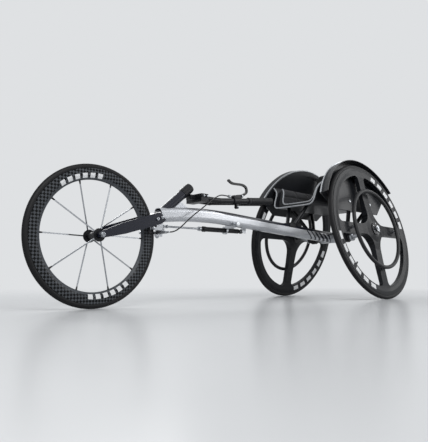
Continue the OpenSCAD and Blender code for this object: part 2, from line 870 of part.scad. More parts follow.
module bar_clamp() {
    color("#26282b") difference() {
        union() {
            steer() translate([0, 0, clamp_s]) cylinder(d = clamp_d, h = clamp_h);
            translate([clamp_x, -bar_y - bar_d / 2 - 4, bar_z - bar_d / 2 - 4])
                cube([clamp_l, bar_spacing + bar_d + 8, clamp_tall]);
            translate([clamp_x + clamp_l - 2, -14, bar_z - 7]) cube([30, 28, 20]);
        }
        steer() translate([0, 0, clamp_s - 30]) cylinder(d = steerer_d, h = clamp_h + 60);
        for (y = [-bar_y, bar_y])
            rod([clamp_x - 10, y, bar_z], [clamp_x + clamp_l - 4, y, bar_z], bar_d - bar_step);
    }
}

module top_cap() {
    color("#3a3d42") steer() translate([0, 0, clamp_s + clamp_h]) {
        cylinder(d = clamp_d - 3, h = top_cap_h);
        translate([0, 0, top_cap_h - 1]) cylinder(d = 14, h = 4);
    }
}

module handlebar_left() {
    color("#17181a") {
        rod([clamp_x + clamp_l - 4, bar_y, bar_z], [clamp_x - 2, bar_y, bar_z], bar_d - bar_step);
        rod([clamp_x, bar_y, bar_z], [bar_bend_x, bar_y, bar_z], bar_d);
        rod([bar_bend_x, bar_y, bar_z], [bar_end_x, bar_y, bar_end_z], bar_d);
        rod([bar_bend_x + bar_ring, bar_y, bar_z], [bar_bend_x - bar_ring, bar_y, bar_z], bar_d + 1.6);
    }
}

module handlebar_right() {
    right() handlebar_left();
}

module grip_left() {
    v = [cos(bar_a), 0, -sin(bar_a)];
    e = [bar_end_x, bar_y, bar_end_z];
    color("#202225") difference() {
        rod(e - 4 * v, e + grip_len * v, grip_d);
        rod(e, e + (grip_len + 10) * v, bar_d);
    }
}

module grip_right() {
    right() grip_left();
}

module front_axle() {
    color("#c4c8cc") front_axis() {
        cylinder(d = front_axle_d, h = fork_gap + 2 * blade_t + 20, center = true);
        for (s = [0, 1]) mirror([0, 0, s]) {
            translate([0, 0, front_half + face_gap]) cylinder(d = 16, h = 3 - face_gap);
            translate([0, 0, fork_gap / 2 + blade_t]) cylinder(d = 19, h = 8, $fn = 6);
        }
    }
}

// Brake
module lever_bracket() {
    c = [lever_x + 26, bar_y, bar_height(lever_x + 26)];
    v = [cos(bar_a), 0, -sin(bar_a)];
    color("#202225") difference() {
        union() {
            rod(c - 22 * v, c + 22 * v, bar_d + 8);
            for (y = [-1, 1])
                translate([0, bar_y + y * (lever_t / 2 + 2.4) + 2, 0]) rotate([90, 0, 0])
                    linear_extrude(4)
                    bar_link([lever_x, lever_z], 7, [lever_x + 30, lever_z - 8], 10);
            translate([lever_x + 26, bar_y - lever_t / 2 - 4, lever_z - 15])
                cube([20, lever_t + 8, 14]);
            translate([lever_x + 40, bar_y, lever_z - 8]) rotate([0, 90, 0]) cylinder(d = 10, h = 34);
            translate([lever_x, bar_y, lever_z]) rotate([90, 0, 0])
                cylinder(d = 5, h = lever_t + 9, center = true);
        }
        rod(c - 80 * v, c + 80 * v, bar_d);
    }
}

module brake_lever() {
    color("#202225") translate([0, bar_y + lever_t / 2, 0]) rotate([90, 0, 0]) linear_extrude(lever_t)
        difference() {
            polygon(concat(moved(lever_path, 4.6),
                arc_pts(lever_path[len(lever_path) - 1], 6, 100, -50, 10),
                backward(moved(lever_path, -4.6)), arc_pts([lever_x, lever_z], 7, 45, -105, 10)));
            translate([lever_x, lever_z]) circle(d = 5 + 2 * run_fit);
        }
}

module brake_bridge() {
    z0 = cal_z - cal_gap - 8;
    z3 = cal_top + cal_t + cal_gap;
    color("#6d7177") difference() {
        union() {
            translate([cal_x - 20, -6, z0]) cube([7, 12, z3 - z0 + 26]);
            translate([cal_x - 20, -6, z0]) cube([28, 12, 8]);
            translate([cal_x - 20, -9, z3]) cube([28, 18, 26]);
            translate([cal_x, 0, z0]) cylinder(d = 6, h = z3 - z0 + 6);
        }
        steer() translate([-crown_w / 2, -300, -300]) cube(600);
    }
}

module caliper_side(z, tail) {
    translate([0, 0, z]) linear_extrude(cal_t) difference() {
        union() {
            bar_link([cal_x, 0], 7, [cal_x + 2, cal_y], 5);
            bar_link([cal_x + 2, cal_y], 5, [pad_x, cal_y], 5);
            bar_link([cal_x, 0], 7, tail, 4);
        }
        translate([cal_x, 0]) circle(d = 6 + 2 * run_fit);
    }
    translate([pad_x, cal_y + 4, z + cal_t / 2]) rotate([-90, 0, 0]) cylinder(d = 12, h = 6);
}

module caliper_arm_left() {
    color("#c4c8cc") caliper_side(cal_top, [cal_x - 15, 18]);
}

module caliper_arm_right() {
    color("#c4c8cc") right() caliper_side(cal_z, [cal_x - 13, -36]);
}

module brake_pad_at(z) {
    y = front_rim_w / 2 + pad_gap;
    translate([pad_x - 6, y, z - pad_len / 2]) cube([12, cal_y - 5 - y, pad_len]);
}

module brake_pad_left() {
    color("#3b2a28") brake_pad_at(cal_top + cal_t / 2);
}

module brake_pad_right() {
    color("#3b2a28") right() brake_pad_at(cal_z + cal_t / 2);
}

module brake_cable() {
    z = cal_z + cal_t / 2;
    p = [[lever_x + 74, bar_y, lever_z - 8], [lever_x + 96, bar_y + 2, lever_z - 8],
        [head_x - 269, bar_y + 9, bar_z + 22], [head_x - 237, bar_y + 16, bar_z + 10],
        [head_x - 199, bar_y + 19, bar_z - 14], [head_x - 159, bar_y + 20, bar_z - 43],
        [head_x - 119, bar_y + 20, head_z + 1], [head_x - 84, tube_w / 2 + 30, head_z - 25],
        [head_x - 54, tube_w / 2 + 34, head_z - 48], [head_x - 27, tube_w / 2 + 38, head_z - 65],
        [head_x - 7, tube_w / 2 + 36, z + 1], [cal_x - 15, 53, z], [cal_x - 13, 46, z],
        [cal_x - 13, 40.4, z]];
    color("#101113") cord(curve(p, 3), cable_d, 8);
}

// Front wheel
module rim_section(edge, w, depth) {
    p = [[edge, w / 2 - 1], [edge - 0.42 * depth, w / 2], [edge - 0.6 * depth, 0.46 * w],
        [edge - 0.8 * depth, 0.31 * w], [edge - 0.94 * depth, 0.15 * w], [edge - depth, 0.05 * w]];
    polygon(concat(p, backward(flipped(p))));
}

module front_rim() {
    color("#2b2d31") front_axis() rotate_extrude($fn = 128) difference() {
        rim_section(front_edge, front_rim_w, front_rim_depth);
        translate([front_tyre_c, 0]) circle(d = front_tyre_w + 2 * bed_fit);
    }
}

module front_tyre() {
    color("#141416") front_axis() rotate_extrude($fn = 128)
        translate([front_tyre_c, 0]) circle(d = front_tyre_w);
}

module front_hub() {
    color("#3a3d42") front_axis() difference() {
        union() {
            cylinder(d = front_hub_d, h = 2 * front_half, center = true);
            for (s = [0, 1]) mirror([0, 0, s])
                translate([0, 0, front_flange_y / 2 - front_flange_t])
                    cylinder(d = front_flange_d, h = front_flange_t);
        }
        cylinder(d = front_axle_d + 2 * run_fit, h = 200, center = true);
    }
}

module front_spokes() {
    r0 = front_flange_d / 2 - 1;
    r1 = front_in + 4;
    y0 = front_flange_y / 2 - front_flange_t / 2;
    a = atan2(y0, r1 - r0);
    color("#0f1012") difference() {
        front_axis() for (i = [0 : front_spoke_n - 1])
            rotate([0, 0, 360 * i / front_spoke_n]) mirror([0, 0, i % 2])
                translate([r0, 0, y0]) rotate([0, a, 0])
                    translate([0, -spoke_w / 2, -spoke_t / 2])
                        cube([norm([r1 - r0, y0]), spoke_w, spoke_t]);
        front_hub_body();
        front_rim_body();
    }
}

module front_hub_body() {
    front_axis() for (s = [0, 1]) mirror([0, 0, s])
        translate([0, 0, front_flange_y / 2 - front_flange_t - 1])
            cylinder(d = front_flange_d, h = front_flange_t + 2);
}

module front_rim_body() {
    front_axis() rotate_extrude($fn = 128) rim_section(front_edge, front_rim_w, front_rim_depth);
}

// Rear wheels
module rear_section() {
    p = [[hub_barrel_d / 2, rear_core_t / 2], [hub_flange_d / 2 + 6, rear_core_t / 2],
        [62, 0.75 * rear_core_t / 2], [100, 0.28 * rear_core_t], [150, rear_web_t / 2 + 1.5],
        [rear_in - 4, rear_web_t / 2], [rear_in + 6, rear_web_t / 2 + 0.5],
        [rear_edge - 0.42 * rear_rim_depth, rear_rim_w / 2], [rear_edge, rear_rim_w / 2 - 1]];
    polygon(concat(p, backward(flipped(p))));
}

// Opening between two spokes
module rear_window() {
    h = rear_spoke_w / 2;
    c = rear_rim_curve;
    g = h + rear_hub_curve;
    x = sqrt(pow(rear_in - c, 2) - pow(h + c, 2));
    a = atan2(h + c, x);
    polygon(concat(arc_pts([g, g], rear_hub_curve, 270, 180, 12),
        arc_pts([h + c, x], c, 180, 90 - a, 7),
        firsts(backward(arc_pts([0, 0], rear_in, a, 90 - a, 14)), 14),
        arc_pts([x, h + c], c, a, -90, 7)));
}

module rear_wheel_left() {
    color("#1a1b1e") wheel_left() difference() {
        rotate_extrude($fn = 128) difference() {
            rear_section();
            translate([rear_tyre_c, 0]) circle(d = rear_tyre_w + 2 * bed_fit);
        }
        for (a = [0 : 90 : 270])
            rotate([0, 0, a]) translate([0, 0, -rear_core_t])
                linear_extrude(2 * rear_core_t) rear_window();
    }
}

module rear_wheel_right() {
    right() rear_wheel_left();
}

module rear_tyre_left() {
    color("#141416") wheel_left() rotate_extrude($fn = 128)
        translate([rear_tyre_c, 0]) circle(d = rear_tyre_w);
}

module rear_tyre_right() {
    right() rear_tyre_left();
}

module rear_hub_left() {
    color("#3a3d42") wheel_left() difference() {
        union() {
            translate([0, 0, -hub_in]) cylinder(d = 32, h = hub_in);
            translate([0, 0, -rear_core_t / 2]) cylinder(d = hub_barrel_d, h = rear_core_t);
            for (s = [0, 1]) mirror([0, 0, s])
                translate([0, 0, rear_core_t / 2]) cylinder(d = hub_flange_d, h = hub_flange_t);
        }
        translate([0, 0, -100]) cylinder(d = rear_axle_d + 2 * run_fit, h = 200);
    }
}

module rear_hub_right() {
    right() rear_hub_left();
}

module pushrim_left() {
    color("#1c1d20") wheel_left() translate([0, 0, pushrim_off])
        rotate_extrude($fn = 128) translate([pushrim_d / 2, 0]) circle(d = pushrim_tube);
}

module pushrim_right() {
    right() pushrim_left();
}

module standoffs_left() {
    t = rear_web_t / 2 + 1;
    color("#9da1a6") difference() {
        wheel_left() for (a = [0 : 90 : 270])
            rotate([0, 0, a]) translate([pushrim_d / 2, 0, t - 1])
                cylinder(d = standoff_d, h = pushrim_off - t + 1);
        wheel_left() translate([0, 0, pushrim_off])
            rotate_extrude($fn = 128) translate([pushrim_d / 2, 0]) circle(d = pushrim_tube);
        wheel_left() rotate_extrude($fn = 128) rear_section();
    }
}

module standoffs_right() {
    right() standoffs_left();
}

place() main_tube();
place() head_tube();
place() head_gussets();
place() headset_cups();
place() axle_sleeve();
place() camber_tube();
place() camber_plug_left();
place() camber_plug_right();
place() rear_axle_left();
place() rear_axle_right();
place() side_panel_left();
place() side_panel_right();
place() panel_trim_left();
place() panel_trim_right();
place() cage_stay_left();
place() cage_stay_right();
place() panel_bolts();
place() seat_pan();
place() seat_struts();
place() seat_pad();
place() back_bar();
place() back_pad();
place() compensator_bracket();
place() compensator_steady();
place() steerer();
place() fork_crown();
place() fork_blade_left();
place() fork_blade_right();
place() steering_arm();
place() bar_clamp();
place() top_cap();
place() handlebar_left();
place() handlebar_right();
place() grip_left();
place() grip_right();
place() front_axle();
place() lever_bracket();
place() brake_bridge();
place() brake_cable();
place() front_rim();
place() front_tyre();
place() front_hub();
place() front_spokes();
place() rear_wheel_left();
place() rear_tyre_left();
place() rear_hub_left();
place() pushrim_left();
place() standoffs_left();
place() rear_wheel_right();
place() rear_tyre_right();
place() rear_hub_right();
place() pushrim_right();
place() standoffs_right();
place() compensator_cylinder();
place() compensator_rod();
place() brake_lever();
place() caliper_arm_left();
place() caliper_arm_right();
place() brake_pad_left();
place() brake_pad_right();
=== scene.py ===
# %% [markdown]
# # A racing wheelchair, dressed in Blender
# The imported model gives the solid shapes: tubes, wheels, seat shell, brake and steering gear.
# This lesson lights them like a studio picture, gives every surface the finish of its real material,
# and models what the solids leave out: padded seat covers, edge bindings, ribbed grips, screws, welds,
# spoke nipples and valves. Everything is in metres, with +X forwards, +Y to the left and +Z up.

# %% Load the frame
import math

import bpy
from mathutils import Matrix, Vector


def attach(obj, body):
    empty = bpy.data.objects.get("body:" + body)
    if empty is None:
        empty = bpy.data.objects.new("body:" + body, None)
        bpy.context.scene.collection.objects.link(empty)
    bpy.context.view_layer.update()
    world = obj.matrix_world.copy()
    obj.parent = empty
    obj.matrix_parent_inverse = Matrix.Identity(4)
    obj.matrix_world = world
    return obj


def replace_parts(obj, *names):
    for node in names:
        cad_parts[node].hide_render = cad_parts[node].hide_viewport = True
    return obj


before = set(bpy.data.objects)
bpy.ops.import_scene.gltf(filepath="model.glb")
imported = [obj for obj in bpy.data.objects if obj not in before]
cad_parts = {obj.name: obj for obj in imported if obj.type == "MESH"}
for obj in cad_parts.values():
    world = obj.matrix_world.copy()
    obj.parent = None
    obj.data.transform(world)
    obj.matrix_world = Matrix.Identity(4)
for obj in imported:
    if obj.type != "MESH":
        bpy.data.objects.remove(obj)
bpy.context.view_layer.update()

# %% [markdown]
# ## Places on the chair
# The solids were drawn in millimetres from a point under the rear axle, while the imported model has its
# origin under the middle of the chair. One small function turns such a point into a place in this file,
# and another builds a frame of axes, so that a piece can be modelled upright and then set in place.

# %% Points and axes
MIDDLE = 637.75
CAMBER = math.radians(12.3)
HUB_OUT, HUB_UP = 236.0, 331.471
FRONT_X, FRONT_Z = 1374, 240.5
HEAD = math.radians(39.5)
SIDES = (("left", 1), ("right", -1))


def at(x, y, z):
    return Vector(((x - MIDDLE) / 1000, y / 1000, z / 1000))


def axes_at(origin, up, ahead):
    up = Vector(up).normalized()
    across = up.cross(Vector(ahead)).normalized()
    ahead = across.cross(up)
    turn = Matrix((ahead, across, up)).transposed().to_4x4()
    return Matrix.Translation(origin) @ turn


def side_axes(x, y, z, side):
    return axes_at(at(x, y, z), (0, side, 0), (1, 0, 0))


def wheel_axes(side):
    out = (0, side * math.cos(CAMBER), math.sin(CAMBER))
    return axes_at(at(0, side * HUB_OUT, HUB_UP), out, (1, 0, 0))


head_up = (-math.cos(HEAD), 0, math.sin(HEAD))
head_axes = axes_at(at(1099, 0, 340), head_up, (math.sin(HEAD), 0, math.cos(HEAD)))
front_axes = side_axes(FRONT_X, 0, FRONT_Z, 1)
print("front axle at", [round(v, 4) for v in front_axes.translation])

# %% [markdown]
# ## The camera
# The picture was taken from just above the floor, ahead of the chair and to its left. The place, the
# direction and the lens come from fitting a camera to the wheels' outlines. With a frame that is taller
# than wide, Blender measures the sensor along the height.

# %% Camera
bpy.ops.object.select_all(action="DESELECT")
bpy.ops.object.camera_add(location=(1.53825, 1.4477, 0.1026))
camera = bpy.context.object
camera.name = "studio_camera"
look = Vector((-0.67614, -0.72774, 0.11528))
camera.rotation_euler = look.to_track_quat("-Z", "Y").to_euler()
camera.data.sensor_fit = "AUTO"
camera.data.sensor_width = 36
camera.data.lens = 39.57
camera.data.clip_end = 60
bpy.context.scene.camera = camera
print("camera at", [round(v, 3) for v in camera.location])

# %% [markdown]
# ## Finishes: a few small tools
# Colours are written as the hex values that a paint chart or a picture shows. Shaders work in linear
# light, so one function converts them. Another adds a shader node with its settings and links in a
# single line, by way of one that fills the sockets of any node. Every pattern reads Object coordinates,
# which are metres on the chair itself. A wave texture of scale 1 repeats every 0.314 m.

# %% Colour and node tools
MATH, MIX, RANGE = "ShaderNodeMath", "ShaderNodeMix", "ShaderNodeMapRange"
NOISE, BUMP = "ShaderNodeTexNoise", "ShaderNodeBump"
WAVE = 0.314


def tone(code):
    parts = [int(code[i:i + 2], 16) / 255 for i in (0, 2, 4)]
    return [c / 12.92 if c <= 0.04045 else ((c + 0.055) / 1.055) ** 2.4 for c in parts] + [1]


def plug(tree, node, ins):
    for key, value in ins.items():
        value = value.outputs[0] if isinstance(value, bpy.types.Node) else value
        if isinstance(value, bpy.types.NodeSocket):
            tree.links.new(value, node.inputs[key])
        else:
            node.inputs[key].default_value = value


def add(tree, kind, ins=None, **settings):
    node = tree.nodes.new(kind)
    for key, value in settings.items():
        setattr(node, key, value)
    plug(tree, node, ins or {})
    return node


def finish_named(name):
    material = bpy.data.materials.new(name)
    material.use_nodes = True
    tree = material.node_tree
    return material, tree, tree.nodes["Principled BSDF"], add(tree, "ShaderNodeTexCoord").outputs["Object"]


def dress(material, *names):
    for name in names:
        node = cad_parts[name]
        node.data.materials.clear()
        node.data.materials.append(material)


print("white is", [round(c, 2) for c in tone("ffffff")])

# %% [markdown]
# ## Silver paint
# The frame is aluminium under silver metallic paint with a clear coat: bright, slightly grainy from the
# flakes, with a soft sheen and a sharper clear-coat highlight. The flakes are about 0.4 mm, too fine to
# show from here, so they are drawn at 1.5 mm, and a long faint ripple stands for the paint's orange peel.

# %% Silver metallic paint
def silver_paint(name):
    material, tree, shader, place = finish_named(name)
    flakes = add(tree, NOISE, {"Vector": place, "Scale": 1 / 0.0015, "Detail": 2})
    ripple = add(tree, NOISE, {"Vector": place, "Scale": 1 / 0.012, "Detail": 1})
    colour = add(tree, MIX, {0: flakes, 6: tone("9fa2a7"), 7: tone("d3d5d9")}, data_type="RGBA")
    rough = add(tree, RANGE, {0: ripple, 3: 0.26, 4: 0.36})
    bump = add(tree, BUMP, {"Height": ripple, "Strength": 0.05, "Distance": 0.0004})
    plug(tree, shader, {"Base Color": colour.outputs[2], "Roughness": rough, "Normal": bump, "Metallic": 0.7,
                        "Coat Weight": 0.6, "Coat Roughness": 0.06})
    return material, tree, shader, place, colour.outputs[2]


silver = silver_paint("silver_metallic_paint")[0]
dress(silver, "head_gussets", "axle_sleeve")
print("silver paint on", len(silver.node_tree.nodes), "nodes")

# %% [markdown]
# ## The two-tone main tube
# The tube is silver with a dark navy back, and slanted navy stripes crowd together towards the rear axle.
# Masking by hand would need a second object. Here the paint works out how high a point lies over the
# tube's own middle line, a straight rise and then a wide arc, and changes colour there.

# %% The tube's middle line
TUBE_RISE = math.radians(2.9)
TUBE_FOOT = 0.308038
BEND_X = 0.75
ARC_X, ARC_Z, ARC_RADIUS = 0.85119, -1.65140, 2.0
two_tone, tree, shader, place, silver_colour = silver_paint("two_tone_tube_paint")
parts = add(tree, "ShaderNodeSeparateXYZ", {0: place})
along = add(tree, MATH, {0: parts, 1: MIDDLE / 1000}, operation="ADD")
rising = add(tree, MATH, {0: along, 1: math.tan(TUBE_RISE), 2: TUBE_FOOT}, operation="MULTIPLY_ADD")
ahead = add(tree, MATH, {0: along, 1: ARC_X}, operation="SUBTRACT")
square = add(tree, MATH, {0: ahead, 1: ahead}, operation="MULTIPLY")
under = add(tree, MATH, {0: ARC_RADIUS ** 2, 1: square}, operation="SUBTRACT")
root = add(tree, MATH, {0: under}, operation="SQRT")
arc = add(tree, MATH, {0: root, 1: ARC_Z}, operation="ADD")
past_bend = add(tree, MATH, {0: along, 1: BEND_X}, operation="GREATER_THAN")
middle_line = add(tree, MIX, {0: past_bend, 2: rising, 3: arc})
height = add(tree, MATH, {0: parts.outputs[2], 1: middle_line}, operation="SUBTRACT")
print("the tube bends at", BEND_X)

# %% Navy back and slanted stripes
BACK_FROM, BACK_TO = (0.78, 0.0115), (0.985, 0.031)
PAINT_EDGE = 0.0004
STRIPE_SLANT, STRIPE_SHIFT, STRIPE_STEP, STRIPE_END = 1.1, 0.3443, 0.034, 0.231
WIDE_AT, NARROW_AT = (0.02, 0.78), (0.225, 0.28)
edge = add(tree, RANGE, {0: along, 1: BACK_FROM[0], 2: BACK_TO[0], 3: BACK_FROM[1], 4: BACK_TO[1]})
over = add(tree, MATH, {0: height, 1: edge}, operation="SUBTRACT")
navy_back = add(tree, MATH, {0: over, 1: 1 / PAINT_EDGE, 2: 0.5}, operation="MULTIPLY_ADD")
leaning = add(tree, MATH, {0: parts.outputs[2], 1: -STRIPE_SLANT, 2: along}, operation="MULTIPLY_ADD")
slant = add(tree, MATH, {0: leaning, 1: STRIPE_SHIFT}, operation="ADD")
steps = add(tree, MATH, {0: slant, 1: 1 / STRIPE_STEP}, operation="MULTIPLY")
repeat = add(tree, MATH, {0: steps}, operation="FRACT")
share = add(tree, RANGE, {0: slant, 1: WIDE_AT[0], 2: NARROW_AT[0], 3: WIDE_AT[1], 4: NARROW_AT[1]})
rear_part = add(tree, MATH, {0: slant, 1: STRIPE_END}, operation="LESS_THAN")
stripe = add(tree, MATH, {0: repeat, 1: share}, operation="LESS_THAN")
stripes = add(tree, MATH, {0: rear_part, 1: stripe}, operation="MULTIPLY")
navy = add(tree, MATH, {0: navy_back, 1: stripes}, operation="MAXIMUM", use_clamp=True)
paint = add(tree, MIX, {0: navy, 6: silver_colour, 7: tone("0c0f1e")}, data_type="RGBA")
metal = add(tree, RANGE, {0: navy, 3: 0.7, 4: 0.0})
coat = add(tree, RANGE, {0: navy, 3: 0.6, 4: 0.25})
plug(tree, shader, {"Base Color": paint.outputs[2], "Metallic": metal, "Coat Weight": coat})
dress(two_tone, "main_tube")
print("tube paint nodes:", len(tree.nodes))

# %% [markdown]
# ## Black and navy coats
# Axle tube, stays, bars, brake lever and clamps are black anodised or powder coated: satin, with a fine even
# grain of about 0.9 mm. Fork and head are deep navy gloss, nearly black until they catch the light. In a pale room
# a full-strength gloss would mirror the walls and turn grey, so its reflections are held down.

# %% Black anodising
black_coat, tree, shader, place = finish_named("black_anodised_aluminium")
grain = add(tree, NOISE, {"Vector": place, "Scale": 1 / 0.0009, "Detail": 3})
wear = add(tree, NOISE, {"Vector": place, "Scale": 1 / 0.05, "Detail": 4})
colour = add(tree, MIX, {0: wear, 6: tone("0d0e10"), 7: tone("1b1c20")}, data_type="RGBA")
rough = add(tree, RANGE, {0: grain, 3: 0.32, 4: 0.48})
bump = add(tree, BUMP, {"Height": grain, "Strength": 0.12, "Distance": 0.0002})
plug(tree, shader, {"Base Color": colour.outputs[2], "Roughness": rough, "Normal": bump, "Metallic": 0.2,
                    "Specular IOR Level": 0.35})
dress(black_coat, "camber_tube", "cage_stay_left", "cage_stay_right", "seat_struts", "bar_clamp", "top_cap",
      "handlebar_left", "handlebar_right", "headset_cups", "rear_hub_left", "rear_hub_right", "front_hub",
      "compensator_cylinder", "brake_lever", "lever_bracket")
print("black coat nodes:", len(tree.nodes))

# %% Navy gloss
navy_gloss, tree, shader, place = finish_named("navy_gloss_paint")
depth = add(tree, NOISE, {"Vector": place, "Scale": 1 / 0.0018, "Detail": 2})
colour = add(tree, MIX, {0: depth, 6: tone("070914"), 7: tone("101526")}, data_type="RGBA")
peel = add(tree, NOISE, {"Vector": place, "Scale": 1 / 0.008, "Detail": 1})
bump = add(tree, BUMP, {"Height": peel, "Strength": 0.05, "Distance": 0.0003})
plug(tree, shader, {"Base Color": colour.outputs[2], "Normal": bump, "Roughness": 0.28,
                    "Specular IOR Level": 0.3, "Coat Weight": 0.3, "Coat Roughness": 0.05})
dress(navy_gloss, "head_tube", "fork_crown", "fork_blade_left", "fork_blade_right")
print("navy gloss nodes:", len(tree.nodes))

# %% [markdown]
# ## Bare metals
# Brackets, plugs, brake arms and edgings are machined aluminium: pale, with fine tool lines. Axles, rods
# and spokes are stainless steel, darker and smoother. Tool lines are about 0.2 mm apart, drawn at 0.8 mm.

# %% Machined aluminium
machined, tree, shader, place = finish_named("machined_aluminium")
stretched = add(tree, "ShaderNodeMapping", {0: place, 3: (1 / 0.0008, 1 / 0.0008, 1 / 0.012)})
lines = add(tree, NOISE, {"Vector": stretched, "Scale": 1.0, "Detail": 2})
colour = add(tree, MIX, {0: lines, 6: tone("a4a7ab"), 7: tone("c6c8cb")}, data_type="RGBA")
rough = add(tree, RANGE, {0: lines, 3: 0.24, 4: 0.40})
bump = add(tree, BUMP, {"Height": lines, "Strength": 0.15, "Distance": 0.0001})
plug(tree, shader, {"Base Color": colour.outputs[2], "Roughness": rough, "Normal": bump, "Metallic": 1.0})
dress(machined, "camber_plug_left", "camber_plug_right", "steering_arm", "compensator_bracket",
      "compensator_steady", "caliper_arm_left", "caliper_arm_right", "brake_bridge",
      "back_bar", "panel_trim_left", "panel_trim_right", "standoffs_left", "standoffs_right")
print("machined nodes:", len(tree.nodes))

# %% Stainless steel
stainless, tree, shader, place = finish_named("stainless_steel")
scuffs = add(tree, NOISE, {"Vector": place, "Scale": 1 / 0.004, "Detail": 5})
colour = add(tree, MIX, {0: scuffs, 6: tone("8f9296"), 7: tone("b4b7bb")}, data_type="RGBA")
rough = add(tree, RANGE, {0: scuffs, 3: 0.14, 4: 0.30})
plug(tree, shader, {"Base Color": colour.outputs[2], "Roughness": rough, "Metallic": 1.0})
dress(stainless, "rear_axle_left", "rear_axle_right", "front_axle", "steerer", "panel_bolts",
      "compensator_rod", "front_spokes")
print("stainless nodes:", len(tree.nodes))

# %% [markdown]
# ## Woven carbon
# The rims are carbon cloth under clear gloss. The front rim shows a coarse check: the cloth lies on the bias,
# so its dark squares stand on their corners, in straight rows 11.1 mm apart. Two cosine waves added, one along
# and one up, give such a check with soft edges. The rim's nose, which faces the hub, is plain. The rear wheels
# have a finer cloth. Plain white dashes mark the rims where a racing wheel carries its graphics: they follow
# the rim round, so they are drawn by distance from the axle and by angle.

# %% Distance and angle round an axle
def round_axle(tree, place, axle, lean):
    upright = Matrix.Rotation(lean, 4, "X")
    local = add(tree, "ShaderNodeMapping", {0: place, 1: -(upright @ axle), 2: (lean, 0, 0)})
    x, y, z = add(tree, "ShaderNodeSeparateXYZ", {0: local}).outputs
    flat = add(tree, "ShaderNodeCombineXYZ", {0: x, 1: z})
    radius = add(tree, "ShaderNodeVectorMath", {0: flat}, operation="LENGTH").outputs["Value"]
    angle = add(tree, MATH, {0: z, 1: x}, operation="ARCTAN2")
    return x, y, z, radius, angle


print("rear wheels lean by", round(math.degrees(CAMBER), 1), "degrees")

# %% Wheel carbon
TURN = 2 * math.pi
DASHES, DASH_SHARE = 6.0, 0.62
SOFT_EDGE = 0.002


def wheel_carbon(name, axle, lean, pitch, shift, plain, dark, pale, band, first_dash):
    material, tree, shader, place = finish_named(name)
    x, _, z, radius, angle = round_axle(tree, place, axle, lean)
    columns = add(tree, MATH, {0: x, 1: TURN / pitch, 2: -TURN * shift[0]}, operation="MULTIPLY_ADD")
    rows = add(tree, MATH, {0: z, 1: TURN / pitch, 2: -TURN * shift[1]}, operation="MULTIPLY_ADD")
    wave_along = add(tree, MATH, {0: columns}, operation="COSINE")
    wave_up = add(tree, MATH, {0: rows}, operation="COSINE")
    check = add(tree, MATH, {0: wave_along, 1: wave_up}, operation="ADD")
    squares = add(tree, RANGE, {0: check, 1: -0.55, 2: 0.45}, interpolation_type="SMOOTHSTEP")
    wall = add(tree, RANGE, {0: radius, 1: plain - SOFT_EDGE, 2: plain + SOFT_EDGE})
    weave = add(tree, MATH, {0: squares, 1: wall}, operation="MULTIPLY")
    cloth = add(tree, MIX, {0: weave, 6: tone(pale), 7: tone(dark)}, data_type="RGBA")
    inner, outer, dash_angle = band
    half_turns = add(tree, MATH, {0: angle, 1: 1 / math.pi, 2: -2 * first_dash}, operation="MULTIPLY_ADD")
    step = add(tree, MATH, {0: half_turns}, operation="FRACT")
    dashes = add(tree, MATH, {0: step, 1: 180 / dash_angle}, operation="MULTIPLY")
    repeat = add(tree, MATH, {0: dashes}, operation="FRACT")
    beat = add(tree, MATH, {0: repeat, 1: DASH_SHARE}, operation="LESS_THAN")
    counted = add(tree, MATH, {0: dashes, 1: DASHES}, operation="LESS_THAN")
    middle = add(tree, MATH, {0: radius, 1: (inner + outer) / 2, 2: (outer - inner) / 2}, operation="COMPARE")
    marked = add(tree, MATH, {0: beat, 1: counted}, operation="MULTIPLY")
    white = add(tree, MATH, {0: marked, 1: middle}, operation="MULTIPLY")
    colour = add(tree, MIX, {0: white, 6: cloth.outputs[2], 7: tone("e4e5e6")}, data_type="RGBA")
    rough = add(tree, RANGE, {0: weave, 3: 0.46, 4: 0.34})
    relief = add(tree, MATH, {0: check}, operation="ABSOLUTE")
    bump = add(tree, BUMP, {"Height": relief, "Strength": 0.18, "Distance": 0.0003})
    plug(tree, shader, {"Base Color": colour.outputs[2], "Roughness": rough, "Normal": bump,
                        "Specular IOR Level": 0.10, "Coat Weight": 0.10, "Coat Roughness": 0.08})
    return material


front_carbon = wheel_carbon("coarse_woven_carbon", front_axes.translation, 0.0, 0.0111, (0.232, -0.346), 0.195,
                            "08090a", "4c4f53", (0.1925, 0.2085, 8.0), 51 / 360)
dress(front_carbon, "front_rim")
FIRST_DASH = {"left": 110 / 360, "right": 14 / 360}
for word, side in SIDES:
    cloth = wheel_carbon("fine_woven_carbon_" + word, wheel_axes(side).translation, -side * CAMBER, 0.0075, (0, 0), 0,
                         "0b0c0e", "202226", (0.2890, 0.3105, 11.6), FIRST_DASH[word])
    dress(cloth, "rear_wheel_" + word)
print("rim cloth nodes:", len(front_carbon.node_tree.nodes))

# %% [markdown]
# ## Guards, tyres and rubber
# The wheel guards and the seat shell are satin composite, dark grey with a faint twill of 4 mm. Tyres are
# matt rubber with a fine file tread in the middle and smooth sidewalls. The pushrims carry a tacky rubber coat.

